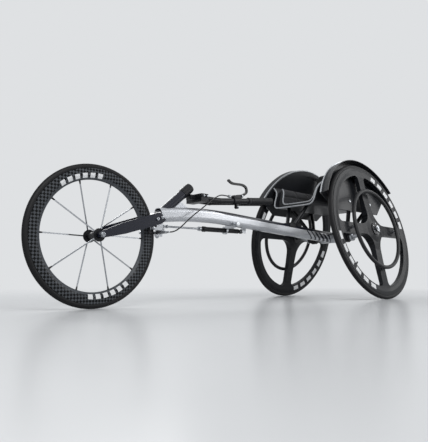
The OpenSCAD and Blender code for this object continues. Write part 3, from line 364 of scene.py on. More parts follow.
# %% Satin composite
composite, tree, shader, place = finish_named("satin_composite_twill")
twill = add(tree, "ShaderNodeTexWave", {"Vector": place, "Scale": WAVE / 0.004, "Distortion": 0.0},
            bands_direction="DIAGONAL")
cloud = add(tree, NOISE, {"Vector": place, "Scale": 1 / 0.09, "Detail": 3})
colour = add(tree, MIX, {0: cloud, 6: tone("121316"), 7: tone("202226")}, data_type="RGBA")
rough = add(tree, RANGE, {0: twill.outputs[1], 3: 0.38, 4: 0.48})
bump = add(tree, BUMP, {"Height": twill.outputs[1], "Strength": 0.10, "Distance": 0.0002})
plug(tree, shader, {"Base Color": colour.outputs[2], "Roughness": rough, "Normal": bump,
                    "Specular IOR Level": 0.25, "Coat Weight": 0.10, "Coat Roughness": 0.25})
dress(composite, "side_panel_left", "side_panel_right", "seat_pan")
print("composite nodes:", len(tree.nodes))


# %% Tyre rubber
def tyre_rubber(name, axle, lean, tread_from, grooves):
    material, tree, shader, place = finish_named(name)
    _, y, _, radius, angle = round_axle(tree, place, axle, lean)
    round_steps = add(tree, MATH, {0: angle, 1: grooves}, operation="MULTIPLY")
    lines_round = add(tree, MATH, {0: round_steps}, operation="SINE")
    across_steps = add(tree, MATH, {0: y, 1: math.pi / 0.0016}, operation="MULTIPLY")
    lines_across = add(tree, MATH, {0: across_steps}, operation="SINE")
    file_cut = add(tree, MATH, {0: lines_round, 1: lines_across}, operation="MULTIPLY")
    tread = add(tree, RANGE, {0: radius, 1: tread_from - 0.001, 2: tread_from + 0.001})
    ring_steps = add(tree, MATH, {0: radius, 1: TURN / 0.0022}, operation="MULTIPLY")
    rings = add(tree, MATH, {0: ring_steps}, operation="SINE")
    cut = add(tree, MATH, {0: file_cut, 1: tread}, operation="MULTIPLY")
    relief = add(tree, MATH, {0: rings, 1: 0.25, 2: cut}, operation="MULTIPLY_ADD")
    dust = add(tree, NOISE, {"Vector": place, "Scale": 1 / 0.02, "Detail": 4})
    colour = add(tree, MIX, {0: dust, 6: tone("0c0c0e"), 7: tone("18181a")}, data_type="RGBA")
    bump = add(tree, BUMP, {"Height": relief, "Strength": 0.35, "Distance": 0.0003})
    rough = add(tree, RANGE, {0: tread, 3: 0.55, 4: 0.74})
    plug(tree, shader, {"Base Color": colour.outputs[2], "Roughness": rough, "Normal": bump,
                        "Specular IOR Level": 0.25})
    return material


dress(tyre_rubber("front_tyre_rubber", front_axes.translation, 0.0, 0.2375, 470), "front_tyre")
for word, side in SIDES:
    rubber = tyre_rubber("rear_tyre_rubber_" + word, wheel_axes(side).translation, -side * CAMBER, 0.3355, 660)
    dress(rubber, "rear_tyre_" + word)
print("tyre nodes:", len(rubber.node_tree.nodes))

# %% Tacky rubber
grip_rubber, tree, shader, place = finish_named("tacky_black_rubber")
pores = add(tree, "ShaderNodeTexVoronoi", {"Vector": place, "Scale": 1 / 0.0016})
scuff = add(tree, NOISE, {"Vector": place, "Scale": 1 / 0.03, "Detail": 5})
colour = add(tree, MIX, {0: scuff, 6: tone("0e0e10"), 7: tone("1b1c1f")}, data_type="RGBA")
rough = add(tree, RANGE, {0: scuff, 3: 0.44, 4: 0.64})
bump = add(tree, BUMP, {"Height": pores, "Strength": 0.15, "Distance": 0.0003})
plug(tree, shader, {"Base Color": colour.outputs[2], "Roughness": rough, "Normal": bump,
                    "Specular IOR Level": 0.4})
dress(grip_rubber, "pushrim_left", "pushrim_right", "grip_left", "grip_right", "brake_pad_left",
      "brake_pad_right", "brake_cable", "seat_pad", "back_pad")
print("rubber nodes:", len(tree.nodes))

# %% [markdown]
# ## Modelling tools
# New pieces are made as by hand: a primitive, then edit-mode tools on chosen faces or edges. Choosing is
# done here by a test on each face's middle and direction, or on an edge's two ends. Turned parts start as a
# round blank, whose end is pulled out step by step. A finished piece is set in place, its place is applied
# to its mesh, and it rides on one of the chair's bodies.

# %% Choosing and settling
def choose(kind, test):
    ob = bpy.context.object
    bpy.ops.object.mode_set(mode="EDIT")
    bpy.ops.mesh.select_mode(type=kind)
    bpy.ops.mesh.select_all(action="DESELECT")
    bpy.ops.object.mode_set(mode="OBJECT")
    if kind == "FACE":
        for face in ob.data.polygons:
            face.select = bool(test(face.center, face.normal))
    else:
        for line in ob.data.edges:
            line.select = bool(test(*(ob.data.vertices[i].co for i in line.vertices)))
    bpy.ops.object.mode_set(mode="EDIT")


def apply_place():
    bpy.ops.object.mode_set(mode="OBJECT")
    bpy.ops.object.transform_apply(location=True, rotation=True, scale=True)


def settle(name, place, body, finish, slot, angle=35):
    bpy.ops.object.mode_set(mode="OBJECT")
    piece = bpy.context.object
    piece.name = piece.data.name = name
    piece.matrix_world = place
    apply_place()
    bpy.ops.object.shade_smooth_by_angle(angle=math.radians(angle))
    piece.data.materials.clear()
    piece.data.materials.append(finish)
    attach(piece, body)
    return piece


print("basic tools:", [tool.__name__ for tool in (choose, apply_place, settle)])


# %% Copies and turned blanks
def again(piece, name, turn, body):
    twin = piece.copy()
    twin.data = piece.data.copy()
    twin.name = twin.data.name = name
    twin.parent = None
    twin.data.transform(turn)
    if turn.determinant() < 0:
        twin.data.flip_normals()
    bpy.context.collection.objects.link(twin)
    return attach(twin, body)


def blank(corners, radius, tall):
    bpy.ops.object.select_all(action="DESELECT")
    bpy.ops.mesh.primitive_cylinder_add(vertices=corners, radius=radius, depth=tall, location=(0, 0, tall / 2))
    apply_place()


def pull(rise, grow=None):
    bpy.ops.mesh.extrude_region_move(TRANSFORM_OT_translate={"value": (0, 0, rise)})
    if grow is not None:
        bpy.ops.transform.resize(value=(grow, grow, 1))


def pull_profile(steps, size):
    for rise, radius in steps:
        pull(rise, radius / size)
        size = radius


ACROSS = Matrix.Scale(-1, 4, (0, 1, 0))
print("making tools:", [tool.__name__ for tool in (again, blank, pull, pull_profile)])

# %% [markdown]
# ## Seat cushion and back cushion
# The seat is a foam pad in a woven black cover, lying in the shell and swelling between its sewn seams.
# A plain solid looks hard. So a copy of the pad gets an even skin of small faces, is pinned where the
# shell backs it, and is blown up a little by a cloth simulation. The seams are pressed in afterwards,
# because the even skin would have swallowed them.

# %% Woven cover
cover, tree, shader, place = finish_named("woven_black_cover")
warp = add(tree, "ShaderNodeTexWave", {"Vector": place, "Scale": WAVE / 0.0024}, bands_direction="X")
weft = add(tree, "ShaderNodeTexWave", {"Vector": place, "Scale": WAVE / 0.0024}, bands_direction="Y")
threads = add(tree, MATH, {0: warp.outputs[1], 1: weft.outputs[1]}, operation="MULTIPLY")
shade = add(tree, NOISE, {"Vector": place, "Scale": 1 / 0.05, "Detail": 4})
worn = add(tree, MATH, {0: threads, 1: 0.35, 2: shade}, operation="MULTIPLY_ADD")
colour = add(tree, MIX, {0: worn, 6: tone("0e0e10"), 7: tone("222327")}, data_type="RGBA")
bump = add(tree, BUMP, {"Height": threads, "Strength": 0.35, "Distance": 0.0004})
plug(tree, shader, {"Base Color": colour.outputs[2], "Normal": bump, "Roughness": 0.82, "Sheen Weight": 0.25,
                    "Sheen Roughness": 0.4})
print("cover ready")


# %% Blow up a pad
def stuffed(node, name, backed, cap):
    bpy.ops.object.select_all(action="DESELECT")
    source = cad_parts[node]
    pad = bpy.data.objects.new(name, source.data.copy())
    bpy.context.collection.objects.link(pad)
    pad.data.name = name
    bpy.context.view_layer.objects.active = pad
    pad.select_set(True)
    bpy.ops.object.mode_set(mode="EDIT")
    bpy.ops.mesh.select_all(action="SELECT")
    bpy.ops.mesh.remove_doubles(threshold=0.00002)
    bpy.ops.object.mode_set(mode="OBJECT")
    skin = pad.modifiers.new("even_skin", "REMESH")
    skin.mode = "VOXEL"
    skin.voxel_size = 0.0045
    bpy.ops.object.modifier_apply(modifier="even_skin")
    rest = [v.co.copy() for v in pad.data.vertices]
    held = pad.vertex_groups.new(name="held")
    held.add([v.index for v in pad.data.vertices if backed(v.co, v.normal)], 1.0, "REPLACE")
    swell = pad.modifiers.new("stuffing", "CLOTH")
    swell.settings.quality = 6
    swell.settings.mass = 0.3
    swell.settings.use_pressure = True
    swell.settings.uniform_pressure_force = 4
    swell.settings.vertex_group_mass = "held"
    swell.settings.effector_weights.gravity = 0
    swell.collision_settings.use_collision = False
    swell.point_cache.frame_start, swell.point_cache.frame_end = 1, 20
    for moment in range(1, 21):
        bpy.context.scene.frame_set(moment)
    bpy.ops.object.modifier_apply(modifier="stuffing")
    bpy.context.scene.frame_set(1)
    for v, start in zip(pad.data.vertices, rest):
        move = v.co - start
        if move.length > cap:
            v.co = start + move * (cap / move.length)
    relax = pad.modifiers.new("relax", "SMOOTH")
    relax.iterations = 4
    bpy.ops.object.modifier_apply(modifier="relax")
    finer = pad.modifiers.new("finer", "SUBSURF")
    finer.levels = finer.render_levels = 1
    bpy.ops.object.modifier_apply(modifier="finer")
    return pad


def press_seams(pad, distance_to_seam, deep, wide):
    facing = [v.normal.copy() for v in pad.data.vertices]
    for v, normal in zip(pad.data.vertices, facing):
        gap = distance_to_seam(v.co, normal)
        v.co -= normal * deep * math.exp(-(gap / wide) ** 2)


def finish_pad(pad, node):
    pad.vertex_groups.clear()
    bpy.ops.object.shade_smooth()
    pad.data.materials.clear()
    pad.data.materials.append(cover)
    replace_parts(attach(pad, "chassis"), node)
    print(pad.name, "faces", len(pad.data.polygons))


# %% Seat cushion
SEAM_DEEP, SEAM_WIDE = 0.0042, 0.0045
NO_SEAM = 1.0
SEAT_CENTRE_Z = 0.56
SEAT_CROSS_SEAMS, SEAT_LONG_SEAM, SEAT_SIDE_SEAM = (0.045, 0.150), 0.060, 0.512
SEAT_FLAT_BELOW = 0.478


def seat_backed(co, normal):
    inward = Vector((0, -co.y, SEAT_CENTRE_Z - co.z)).normalized()
    return normal.dot(inward) < 0.3


def seat_seams(co, normal):
    if seat_backed(co, normal):
        return NO_SEAM
    x = co.x + MIDDLE / 1000
    lines = [abs(x - seam) for seam in SEAT_CROSS_SEAMS]
    lines.append(abs(abs(co.y) - SEAT_LONG_SEAM) if co.z < SEAT_FLAT_BELOW else NO_SEAM)
    lines.append(abs(co.z - SEAT_SIDE_SEAM))
    return min(lines)


seat_cushion = stuffed("seat_pad", "seat_cushion", seat_backed, 0.006)
press_seams(seat_cushion, seat_seams, SEAM_DEEP, SEAM_WIDE)
finish_pad(seat_cushion, "seat_pad")

# %% Back cushion
BACK_LONG_SEAM, BACK_TOP_SEAM = 0.046, 0.628


def back_backed(co, normal):
    return normal.x < 0.25


def back_seams(co, normal):
    if back_backed(co, normal):
        return NO_SEAM
    upright = abs(abs(co.y) - BACK_LONG_SEAM) if co.z < BACK_TOP_SEAM else NO_SEAM
    return min(upright, abs(co.z - BACK_TOP_SEAM))


back_cushion = stuffed("back_pad", "back_cushion", back_backed, 0.008)
press_seams(back_cushion, back_seams, SEAM_DEEP, SEAM_WIDE)
finish_pad(back_cushion, "back_pad")

# %% [markdown]
# ## Edge bindings
# The shell's front edge and the cushion's front edge carry a binding. Its pale grey is painted highlight: it
# draws the two light lines of the seat's shape, which are the edges catching the light. A binding is one section
# swept along an edge, so a path is laid through the seat's profile points, given a round bevel, and turned into a
# mesh.

# %% Binding tape
binding_with_painted_highlight, tree, shader, place = finish_named("binding_tape_with_painted_highlight")
ribs = add(tree, "ShaderNodeTexWave", {"Vector": place, "Scale": WAVE / 0.002}, bands_direction="Z")
mottle = add(tree, NOISE, {"Vector": place, "Scale": 1 / 0.01, "Detail": 4})
# The binding's pale grey is painted highlight, standing in for the light along the seat's edges.
colour = add(tree, MIX, {0: mottle, 6: tone("8d9094"), 7: tone("b9bcc0")}, data_type="RGBA")
bump = add(tree, BUMP, {"Height": ribs.outputs[1], "Strength": 0.25, "Distance": 0.0003})
plug(tree, shader, {"Base Color": colour.outputs[2], "Normal": bump, "Roughness": 0.5, "Sheen Weight": 0.15})


def smooth_path(points, steps):
    path = []
    for i in range(len(points) - 1):
        a, b = points[max(i - 1, 0)], points[i]
        c, d = points[i + 1], points[min(i + 2, len(points) - 1)]
        for j in range(steps):
            u = j / steps
            path.append(0.5 * (2 * b + (c - a) * u + (2 * a - 5 * b + 4 * c - d) * u * u
                               + (3 * b - a - 3 * c + d) * u ** 3))
    return path + [points[-1]]


def laid_path(name, points, thick, closed=False, sizes=None):
    bpy.ops.object.select_all(action="DESELECT")
    bpy.ops.curve.primitive_nurbs_path_add(location=(0, 0, 0))
    line = bpy.context.object
    line.name = name
    line.data.splines.clear()
    spline = line.data.splines.new("POLY")
    spline.points.add(len(points) - 1)
    for k, (point, where) in enumerate(zip(spline.points, points)):
        point.co = (*where, 1)
        point.radius = sizes[k % len(sizes)] if sizes else 1.0
    spline.use_cyclic_u = closed
    line.data.dimensions = "3D"
    line.data.bevel_depth = thick / 2
    line.data.bevel_resolution = 3
    line.data.use_fill_caps = True
    return line


def swept(name, points, thick, body, finish, slot, closed=False, sizes=None):
    laid_path(name, points, thick, closed, sizes)
    bpy.ops.object.convert(target="MESH")
    return settle(name, Matrix.Identity(4), body, finish, slot, 60)


SEAT_Z, HALF, LEAN = 443.0, 92.0, math.tan(math.radians(22))


def seat_edge(profile, front, lift):
    half = [at(front - LEAN * z, y, SEAT_Z + z + lift) for y, z in profile]
    other = [Vector((p.x, -p.y, p.z)) for p in reversed(half) if p.y > 0.0005]
    return smooth_path(other + half, 6)


shell_side = [(0, 0), (60, 0), (HALF, 1), (HALF + 12, 4), (HALF + 21, 11), (HALF + 25, 20), (HALF + 28, 35),
              (HALF + 30, 72), (HALF + 34, 85), (HALF + 43, 98), (HALF + 61, 114)]
# Both bindings carry the pale grey that paints in the edges' highlight.
swept("shell_binding_painted_highlight", seat_edge(shell_side, 312.5, 1.2), 0.0068, "chassis", binding_with_painted_highlight, "upholstery")
pad_side = [(0, 20), (HALF - 26, 21), (HALF - 11, 26), (HALF - 2, 36), (HALF + 3, 53), (HALF + 7, 78),
            (HALF + 14, 97), (HALF + 24, 109)]
swept("cushion_binding_painted_highlight", seat_edge(pad_side, 287.0, 0.0), 0.0075, "chassis", binding_with_painted_highlight, "upholstery")
print("bindings laid")

# %% [markdown]
# ## The brake cable
# A black housing of 5 mm runs from the lever, over the left bar, down past the main tube's near side and
# under the head to the brake. It repeats the route of its solid, as one smooth curve.

# %% Brake cable
sleeve, tree, shader, place = finish_named("black_cable_sleeve")
bands = add(tree, NOISE, {"Vector": place, "Scale": 1 / 0.003, "Detail": 2})
colour = add(tree, MIX, {0: bands, 6: tone("0e0e10"), 7: tone("1d1d20")}, data_type="RGBA")
plug(tree, shader, {"Base Color": colour.outputs[2], "Roughness": 0.36})
route = [(778, 31, 436.78), (800, 33, 436.78), (830, 40, 434), (862, 47, 422), (900, 50, 398), (940, 51, 369),
         (980, 51, 341), (1015, 53, 315), (1045, 57, 292), (1072, 61, 275), (1092, 59, 267), (1102, 53, 266),
         (1104, 46, 266), (1104, 40.4, 266)]
way = smooth_path([at(*p) for p in route], 8)
cable = laid_path("brake_housing", way, 0.005)
cable.data.materials.append(sleeve)
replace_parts(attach(cable, "fork"), "brake_cable")

# %% [markdown]
# ## Ribbed grips
# The bars end in soft black sleeves with moulded ribs and a domed end. A ring of points is extruded along
# the bar again and again, a little wider and a little narrower in turn, which is how a turned profile is
# built by hand. The right one is a mirrored copy.

# %% Grips
BAR_RISE = math.atan2(32, 318)
GRIP_END, GRIP_LOW, GRIP_HIGH, GRIP_LIP = 0.0085, 0.0132, 0.0146, 0.0150
RIBS = 17
bar_end = at(512, 31, 444)
along_bar = Vector((math.cos(BAR_RISE), 0, -math.sin(BAR_RISE)))
bpy.ops.object.select_all(action="DESELECT")
bpy.ops.mesh.primitive_circle_add(vertices=36, radius=GRIP_END, fill_type="NGON")
bpy.ops.object.mode_set(mode="EDIT")
bpy.ops.mesh.select_all(action="SELECT")
steps = [(0.0012, 0.0122), (0.0016, 0.0141), (0.003, GRIP_HIGH)]
steps += [(0.0042, GRIP_HIGH), (0.0011, GRIP_LOW), (0.0016, GRIP_LOW), (0.0011, GRIP_HIGH)] * RIBS
steps += [(0.005, GRIP_HIGH), (0.003, GRIP_LIP), (0.004, GRIP_LIP), (0.002, 0.0138), (0.0001, 0.01118)]
pull_profile(steps, GRIP_END)
bpy.ops.mesh.select_all(action="SELECT")
bpy.ops.mesh.normals_make_consistent(inside=False)
grip = settle("bar_grip_left", axes_at(bar_end - along_bar * 0.0045, along_bar, (0, 1, 0)), "fork",
              grip_rubber, "grip_rubber", 50)
grip_twin = again(grip, "bar_grip_right", ACROSS, "fork")
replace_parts(grip, "grip_left")
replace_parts(grip_twin, "grip_right")
print("grip length", round(sum(s[0] for s in steps), 4))

# %% [markdown]
# ## Screws, nuts and caps
# Small bright heads sit on the fork crown, clamps, hubs and brake. One function models a socket screw: a
# cylinder with a rounded upper edge and a sunk socket. Another models a hexagon nut. Each is set with its
# foot on the face it holds.

# %% Socket screws and nuts
fasteners = []


def on_top(tall, share=0.9):
    return lambda c, n: n.z > 0.99 and c.z > share * tall


def level_edge(a, b):
    return abs(a.z - b.z) < 1e-7


def socket_screw(name, width, tall, place, body):
    blank(24, width / 2, tall)
    choose("EDGE", lambda a, b: a.z > 0.9 * tall and b.z > 0.9 * tall)
    bpy.ops.mesh.bevel(offset=0.1 * width, segments=3)
    choose("FACE", on_top(tall))
    bpy.ops.mesh.inset(thickness=0.17 * width)
    pull(-0.55 * tall, 0.92)
    fasteners.append(settle(name, place, body, stainless, "steel"))


def hex_nut(name, width, tall, place, body):
    blank(6, width / 2, tall)
    choose("EDGE", lambda a, b: True)
    bpy.ops.mesh.bevel(offset=0.05 * width, segments=2)
    choose("FACE", on_top(tall))
    bpy.ops.mesh.inset(thickness=0.14 * width)
    pull(0.35 * tall)
    bpy.ops.mesh.bevel(offset=0.06 * width, segments=2)
    fasteners.append(settle(name, place, body, stainless, "steel"))


for word, side in SIDES:
    for k, (x, z) in enumerate(((1133.0, 316.5), (1152.5, 309.5))):
        socket_screw(f"crown_screw_{word}_{k + 1}", 0.012, 0.0055, side_axes(x, side * 51, z, side), "fork")
    for k, x in enumerate((912, 930)):
        socket_screw(f"bar_pinch_screw_{word}_{k + 1}", 0.0085, 0.006, side_axes(x, side * 46.1, 420, side), "fork")
print("screws so far:", len(fasteners))

# %% [markdown]
# ## Clamp under the brake lever, and knurled adjusters
# The lever's bracket is a band round the left bar, pinched by two lugs and a bolt below it. Where fingers
# turn something, the metal is knurled: every second face of a ring is pushed in a little.

# %% Band lugs
BAND_X, BAND_Y = 730, 31
for k, side in enumerate((1, -1)):
    bpy.ops.object.select_all(action="DESELECT")
    bpy.ops.mesh.primitive_cube_add(size=1, location=(0, 0, 0))
    bpy.context.object.scale = (0.014, 0.004, 0.022)
    apply_place()
    choose("EDGE", lambda a, b: a.z < 0 and b.z < 0 and abs(a.x - b.x) < 1e-6)
    bpy.ops.mesh.bevel(offset=0.006, segments=5)
    choose("EDGE", lambda a, b: abs(a.y - b.y) < 1e-6)
    bpy.ops.mesh.bevel(offset=0.0006, segments=2)
    spot = Matrix.Translation(at(BAND_X, BAND_Y + side * 4.5, 399.5))
    settle(f"lever_band_lug_{k + 1}", spot, "fork", black_coat, "black_paint")
socket_screw("lever_band_screw", 0.009, 0.005, side_axes(BAND_X, BAND_Y + 6.5, 396, 1), "fork")
hex_nut("lever_band_nut", 0.010, 0.004, side_axes(BAND_X, BAND_Y - 6.5, 396, -1), "fork")
print("fasteners so far:", len(fasteners))

# %% Knurled parts
KNURLS = 40


def knurled(name, width, tall, place, body, finish=machined, slot="bare_alloy"):
    def every_second(c, n):
        return abs(n.z) < 0.1 and int((math.atan2(c.y, c.x) % TURN) * KNURLS / TURN) % 2

    blank(KNURLS, width / 2, tall)
    choose("EDGE", level_edge)
    bpy.ops.mesh.bevel(offset=0.06 * width, segments=2)
    choose("FACE", every_second)
    bpy.ops.mesh.inset(thickness=0.008 * width, depth=-0.03 * width, use_individual=True)
    choose("FACE", on_top(tall, 0.95))
    bpy.ops.mesh.inset(thickness=0.13 * width)
    pull(0.12 * tall, 0.8)
    return settle(name, place, body, finish, slot)


knurled("cable_adjuster", 0.0125, 0.012, axes_at(at(766, BAND_Y, 436.78), (1, 0, 0), (0, 0, 1)), "fork")
knob = knurled("compensator_hand_knob", 0.021, 0.010, side_axes(736, 36, 322, 1), "chassis")
print("knob faces:", len(knob.data.polygons))

# %% [markdown]
# ## Brake and steering hardware
# The brake arms carry pad bolts with domed nuts, the cable ends in a ferrule, and the compensator's rod
# has a lock nut. They are small, but they are the bright points below the main tube in the picture.

# %% Brake and steering hardware
hex_nut("pad_bolt_left", 0.0125, 0.006, side_axes(1163, 37, 277, 1), "caliper_left")
hex_nut("pad_bolt_right", 0.0125, 0.006, side_axes(1163, -37, 266, -1), "caliper_right")
hex_nut("brake_pivot_nut", 0.013, 0.005, axes_at(at(1117, 0, 252), (0, 0, -1), (1, 0, 0)), "fork")
socket_screw("lever_pivot_screw_1", 0.009, 0.003, side_axes(704, 39.5, 444.78, 1), "fork")
socket_screw("lever_pivot_screw_2", 0.009, 0.003, side_axes(704, 22.5, 444.78, -1), "fork")
socket_screw("steering_top_screw", 0.010, 0.003, head_axes @ Matrix.Translation((0, 0, 0.1814)), "fork")
for word, side in SIDES:
    socket_screw("front_axle_end_" + word, 0.0135, 0.006, side_axes(FRONT_X, side * 59, FRONT_Z, side), "fork")

blank(24, 0.0038, 0.010)
choose("FACE", on_top(0.010))
bpy.ops.mesh.inset(thickness=0.0007)
pull(0.004)
choose("EDGE", level_edge)
bpy.ops.mesh.bevel(offset=0.0004, segments=2)
settle("cable_ferrule", side_axes(1104, 41.5, 266, 1), "fork", machined, "bare_alloy")
rod_line = Vector((0.999861, 0, -0.016678))
nut_axes = axes_at(at(640, -34, 303) + rod_line * 0.405, rod_line, (0, 0, 1))
hex_nut("rod_lock_nut", 0.0155, 0.006, nut_axes, "compensator_rod")
print("fasteners so far:", len(fasteners))

# %% [markdown]
# ## Wheel hardware
# The front spokes end in small black nipples at the rim, and each wheel has a valve stem that points at its
# hub. The rear hubs have a ring of screws round a bright axle cap with a release button. One nipple is
# modelled, and the rest are turned copies.

# %% Spoke nipples
SPOKES = 10
bpy.ops.object.select_all(action="DESELECT")
bpy.ops.mesh.primitive_cone_add(vertices=14, radius1=0.0034, radius2=0.0024, depth=0.012, location=(0, 0, 0.006))
apply_place()
choose("EDGE", level_edge)
bpy.ops.mesh.bevel(offset=0.0005, segments=2)
spread = math.atan2(33, 169.5)
to_hub = Vector((-math.cos(spread), -math.sin(spread), 0))
first = axes_at(at(FRONT_X + 188, 0, FRONT_Z) - Vector((0, 0.0005, 0)), to_hub, (0, 0, 1))
nipple = settle("spoke_nipple_1", first, "front_wheel", black_coat, "black_paint")
centre = Matrix.Translation(front_axes.translation)
for k in range(1, SPOKES):
    turn = Matrix.Rotation(-math.radians(360 / SPOKES * k), 4, "Y")
    if k % 2:
        turn = turn @ ACROSS
    again(nipple, f"spoke_nipple_{k + 1}", centre @ turn @ centre.inverted(), "front_wheel")
print("nipples:", SPOKES)


# %% Valves and rear hubs
def valve(name, place, body):
    blank(20, 0.0045, 0.004)
    choose("FACE", on_top(0.004))
    pull_profile(((0.0, 0.003), (0.016, 0.003), (0.0, 0.0037), (0.009, 0.0034), (0.002, 0.0018)), 0.0045)
    settle(name, place, body, black_coat, "black_paint")


RIM_IN, REAR_RIM_IN = 187.5, 0.283
HUB_SCREWS = 6
aim = math.radians(162)
rim_point = at(FRONT_X + RIM_IN * math.cos(aim), 0, FRONT_Z + RIM_IN * math.sin(aim))
valve("front_valve", axes_at(rim_point, front_axes.translation - rim_point, (0, 1, 0)), "front_wheel")
for word, side in SIDES:
    hub = wheel_axes(side)
    to_rim = Matrix.Rotation(math.radians(40), 4, "Z") @ Matrix.Translation((REAR_RIM_IN, 0, 0))
    valve("rear_valve_" + word, hub @ to_rim @ Matrix.Rotation(-math.pi / 2, 4, "Y"), "rear_wheel_" + word)
    for k in range(HUB_SCREWS):
        turn = Matrix.Rotation(math.radians(360 / HUB_SCREWS * k + 30), 4, "Z")
        spot = hub @ turn @ Matrix.Translation((0.0262, 0, 0.028))
        socket_screw(f"hub_screw_{word}_{k + 1}", 0.0065, 0.0032, spot, "rear_wheel_" + word)
    cap = hub @ Matrix.Translation((0, 0, 0.0385))
    knurled("axle_button_" + word, 0.014, 0.003, cap, "chassis", stainless, "steel")
print("fasteners in all:", len(fasteners))

# %% [markdown]
# ## Weld beads
# The frame is welded, and each joint shows a rippled bead. A path is laid round the joint and its
# thickness swells and shrinks from point to point, like the overlapping coins of a hand weld.

# %% Main tube's weld
AXLE_Z = 308.04
TUBE_ROUND, TUBE_MID_Y, TUBE_MID_H = 17, 6, 10
BEAD_RADIUS, BEAD_LIMIT, BEAD_STEP = 28.2, 27.5, 3
profile = []
for y, h, start in ((1, 1, 0), (-1, 1, 90), (-1, -1, 180), (1, -1, 270)):
    for k in range(10):
        a = math.radians(start + 10 * k)
        profile.append((y * TUBE_MID_Y + TUBE_ROUND * math.cos(a), h * TUBE_MID_H + TUBE_ROUND * math.sin(a)))
dense = []
for (y0, h0), (y1, h1) in zip(profile, profile[1:] + profile[:1]):
    pieces = max(1, round(math.hypot(y1 - y0, h1 - h0) / BEAD_STEP))
    dense += [(y0 + (y1 - y0) * k / pieces, h0 + (h1 - h0) * k / pieces) for k in range(pieces)]
bead = []
for y, h in dense:
    x = math.sqrt(BEAD_RADIUS ** 2 - min(h * h, BEAD_LIMIT ** 2))
    bead.append(at(x * math.cos(TUBE_RISE) - h * math.sin(TUBE_RISE), y * 1.01,
                   AXLE_Z + x * math.sin(TUBE_RISE) + h * math.cos(TUBE_RISE)))
swept("axle_weld", bead, 0.0052, "chassis", silver, "frame_silver", closed=True, sizes=(1.0, 0.8))
print("points round the tube's weld:", len(bead))


# %% Welds of the stays and struts
def ring_path(place, radius, count=44):
    turns = [TURN * k / count for k in range(count)]
    return [place @ Vector((radius * math.cos(a), radius * math.sin(a), 0)) for a in turns]


def black_weld(name, ring):
    swept(name, ring, 0.0046, "chassis", black_coat, "black_paint", closed=True, sizes=(1.0, 0.78))


STAY_UP, STAY_IN = 150, 26
tube_up = Vector((-math.sin(TUBE_RISE), 0, math.cos(TUBE_RISE)))
for word, side in SIDES:
    for end, x in (("front", 95), ("rear", -95)):
        foot = at(0, side * 100, AXLE_Z)
        top = at(x, side * (HUB_OUT - STAY_UP * math.sin(CAMBER) - STAY_IN * math.cos(CAMBER)),
                 HUB_UP + STAY_UP * math.cos(CAMBER) - STAY_IN * math.sin(CAMBER))
        line = (top - foot).normalized()
        black_weld(f"stay_weld_{word}_{end}", ring_path(axes_at(foot + line * 0.0292, line, (0, 1, 0)), 0.0103))
    foot, top = at(345, side * 12, 325.5), at(262, side * 58, 455)
    line = (top - foot).normalized()
    ring = ring_path(axes_at(foot, line, (0, 1, 0)), 0.0093)
    black_weld(f"strut_weld_{word}",
               [p + line * ((at(345, 0, 358.7) - p).dot(tube_up) / line.dot(tube_up)) for p in ring])
print("welds:", 1 + 3 * len(SIDES))

# %% [markdown]
# ## Stitching
# Seams on a sewn cover show a row of pale thread. One stitch is a small capsule. It is copied along a
# line, each copy dropped onto the cushion's surface by a ray, so the rows follow the swollen foam.

# %% Stitch rows
thread, tree, shader, place = finish_named("grey_sewing_thread")
twist = add(tree, NOISE, {"Vector": place, "Scale": 1 / 0.001, "Detail": 1})
colour = add(tree, MIX, {0: twist, 6: tone("7d8084"), 7: tone("a6a9ad")}, data_type="RGBA")
plug(tree, shader, {"Base Color": colour.outputs[2], "Roughness": 0.6})


def stitch_row(name, cushion, points, toward):
    spots = []
    toward = Vector(toward).normalized()
    for point in points:
        hit, where, normal, _ = cushion.ray_cast(point - toward * 0.06, toward)
        if hit and normal.dot(toward) < -0.2:
            spots.append((where, normal))
    bpy.ops.object.select_all(action="DESELECT")
    copies = []
    for (a, normal), (b, _) in zip(spots[::2], spots[1::2]):
        if (b - a).length > 0.009:
            continue
        bpy.ops.mesh.primitive_uv_sphere_add(segments=8, ring_count=5, radius=0.0007)
        bpy.context.object.scale = (0.9, 0.7, max(2.0, (b - a).length / 0.0014))
        bpy.context.object.matrix_world = axes_at((a + b) / 2, b - a, normal) @ bpy.context.object.matrix_basis
        copies.append(bpy.context.object)
    for copy in copies:
        copy.select_set(True)
    bpy.context.view_layer.objects.active = copies[0]
    bpy.ops.object.join()
    apply_place()
    settle(name, Matrix.Identity(4), "chassis", thread, "upholstery", 60)
    print(name, "stitches", len(copies))


def span(a, b, pitch=0.0042):
    count = int((b - a).length / pitch)
    return [a.lerp(b, k / count) for k in range(count + 1)]


for k, x in enumerate((40, 155)):
    stitch_row(f"seat_stitching_{k + 1}", seat_cushion, span(at(x, -84, 470), at(x, 84, 470)), (0, 0, -1))
stitch_row("back_stitching_1", back_cushion, span(at(-66, -116, 633), at(-66, 116, 633)), (-1, 0, 0))
stitch_row("back_stitching_2", back_cushion, span(at(-83, -98, 668), at(-83, 98, 668)), (0, 0, -1))

# %% [markdown]
# ## The studio
# A pale floor, a pale surround and three large soft lamps: a key high on the chair's left, a broad fill from
# its left rear, and a long one on its right, which draws the bright line along the guards' edges. The floor
# has a faint gloss, so the wheels are mirrored a little, as on a studio table. Far away it fades into the
# surround's own colour, which hides the horizon as a curved studio backdrop does.

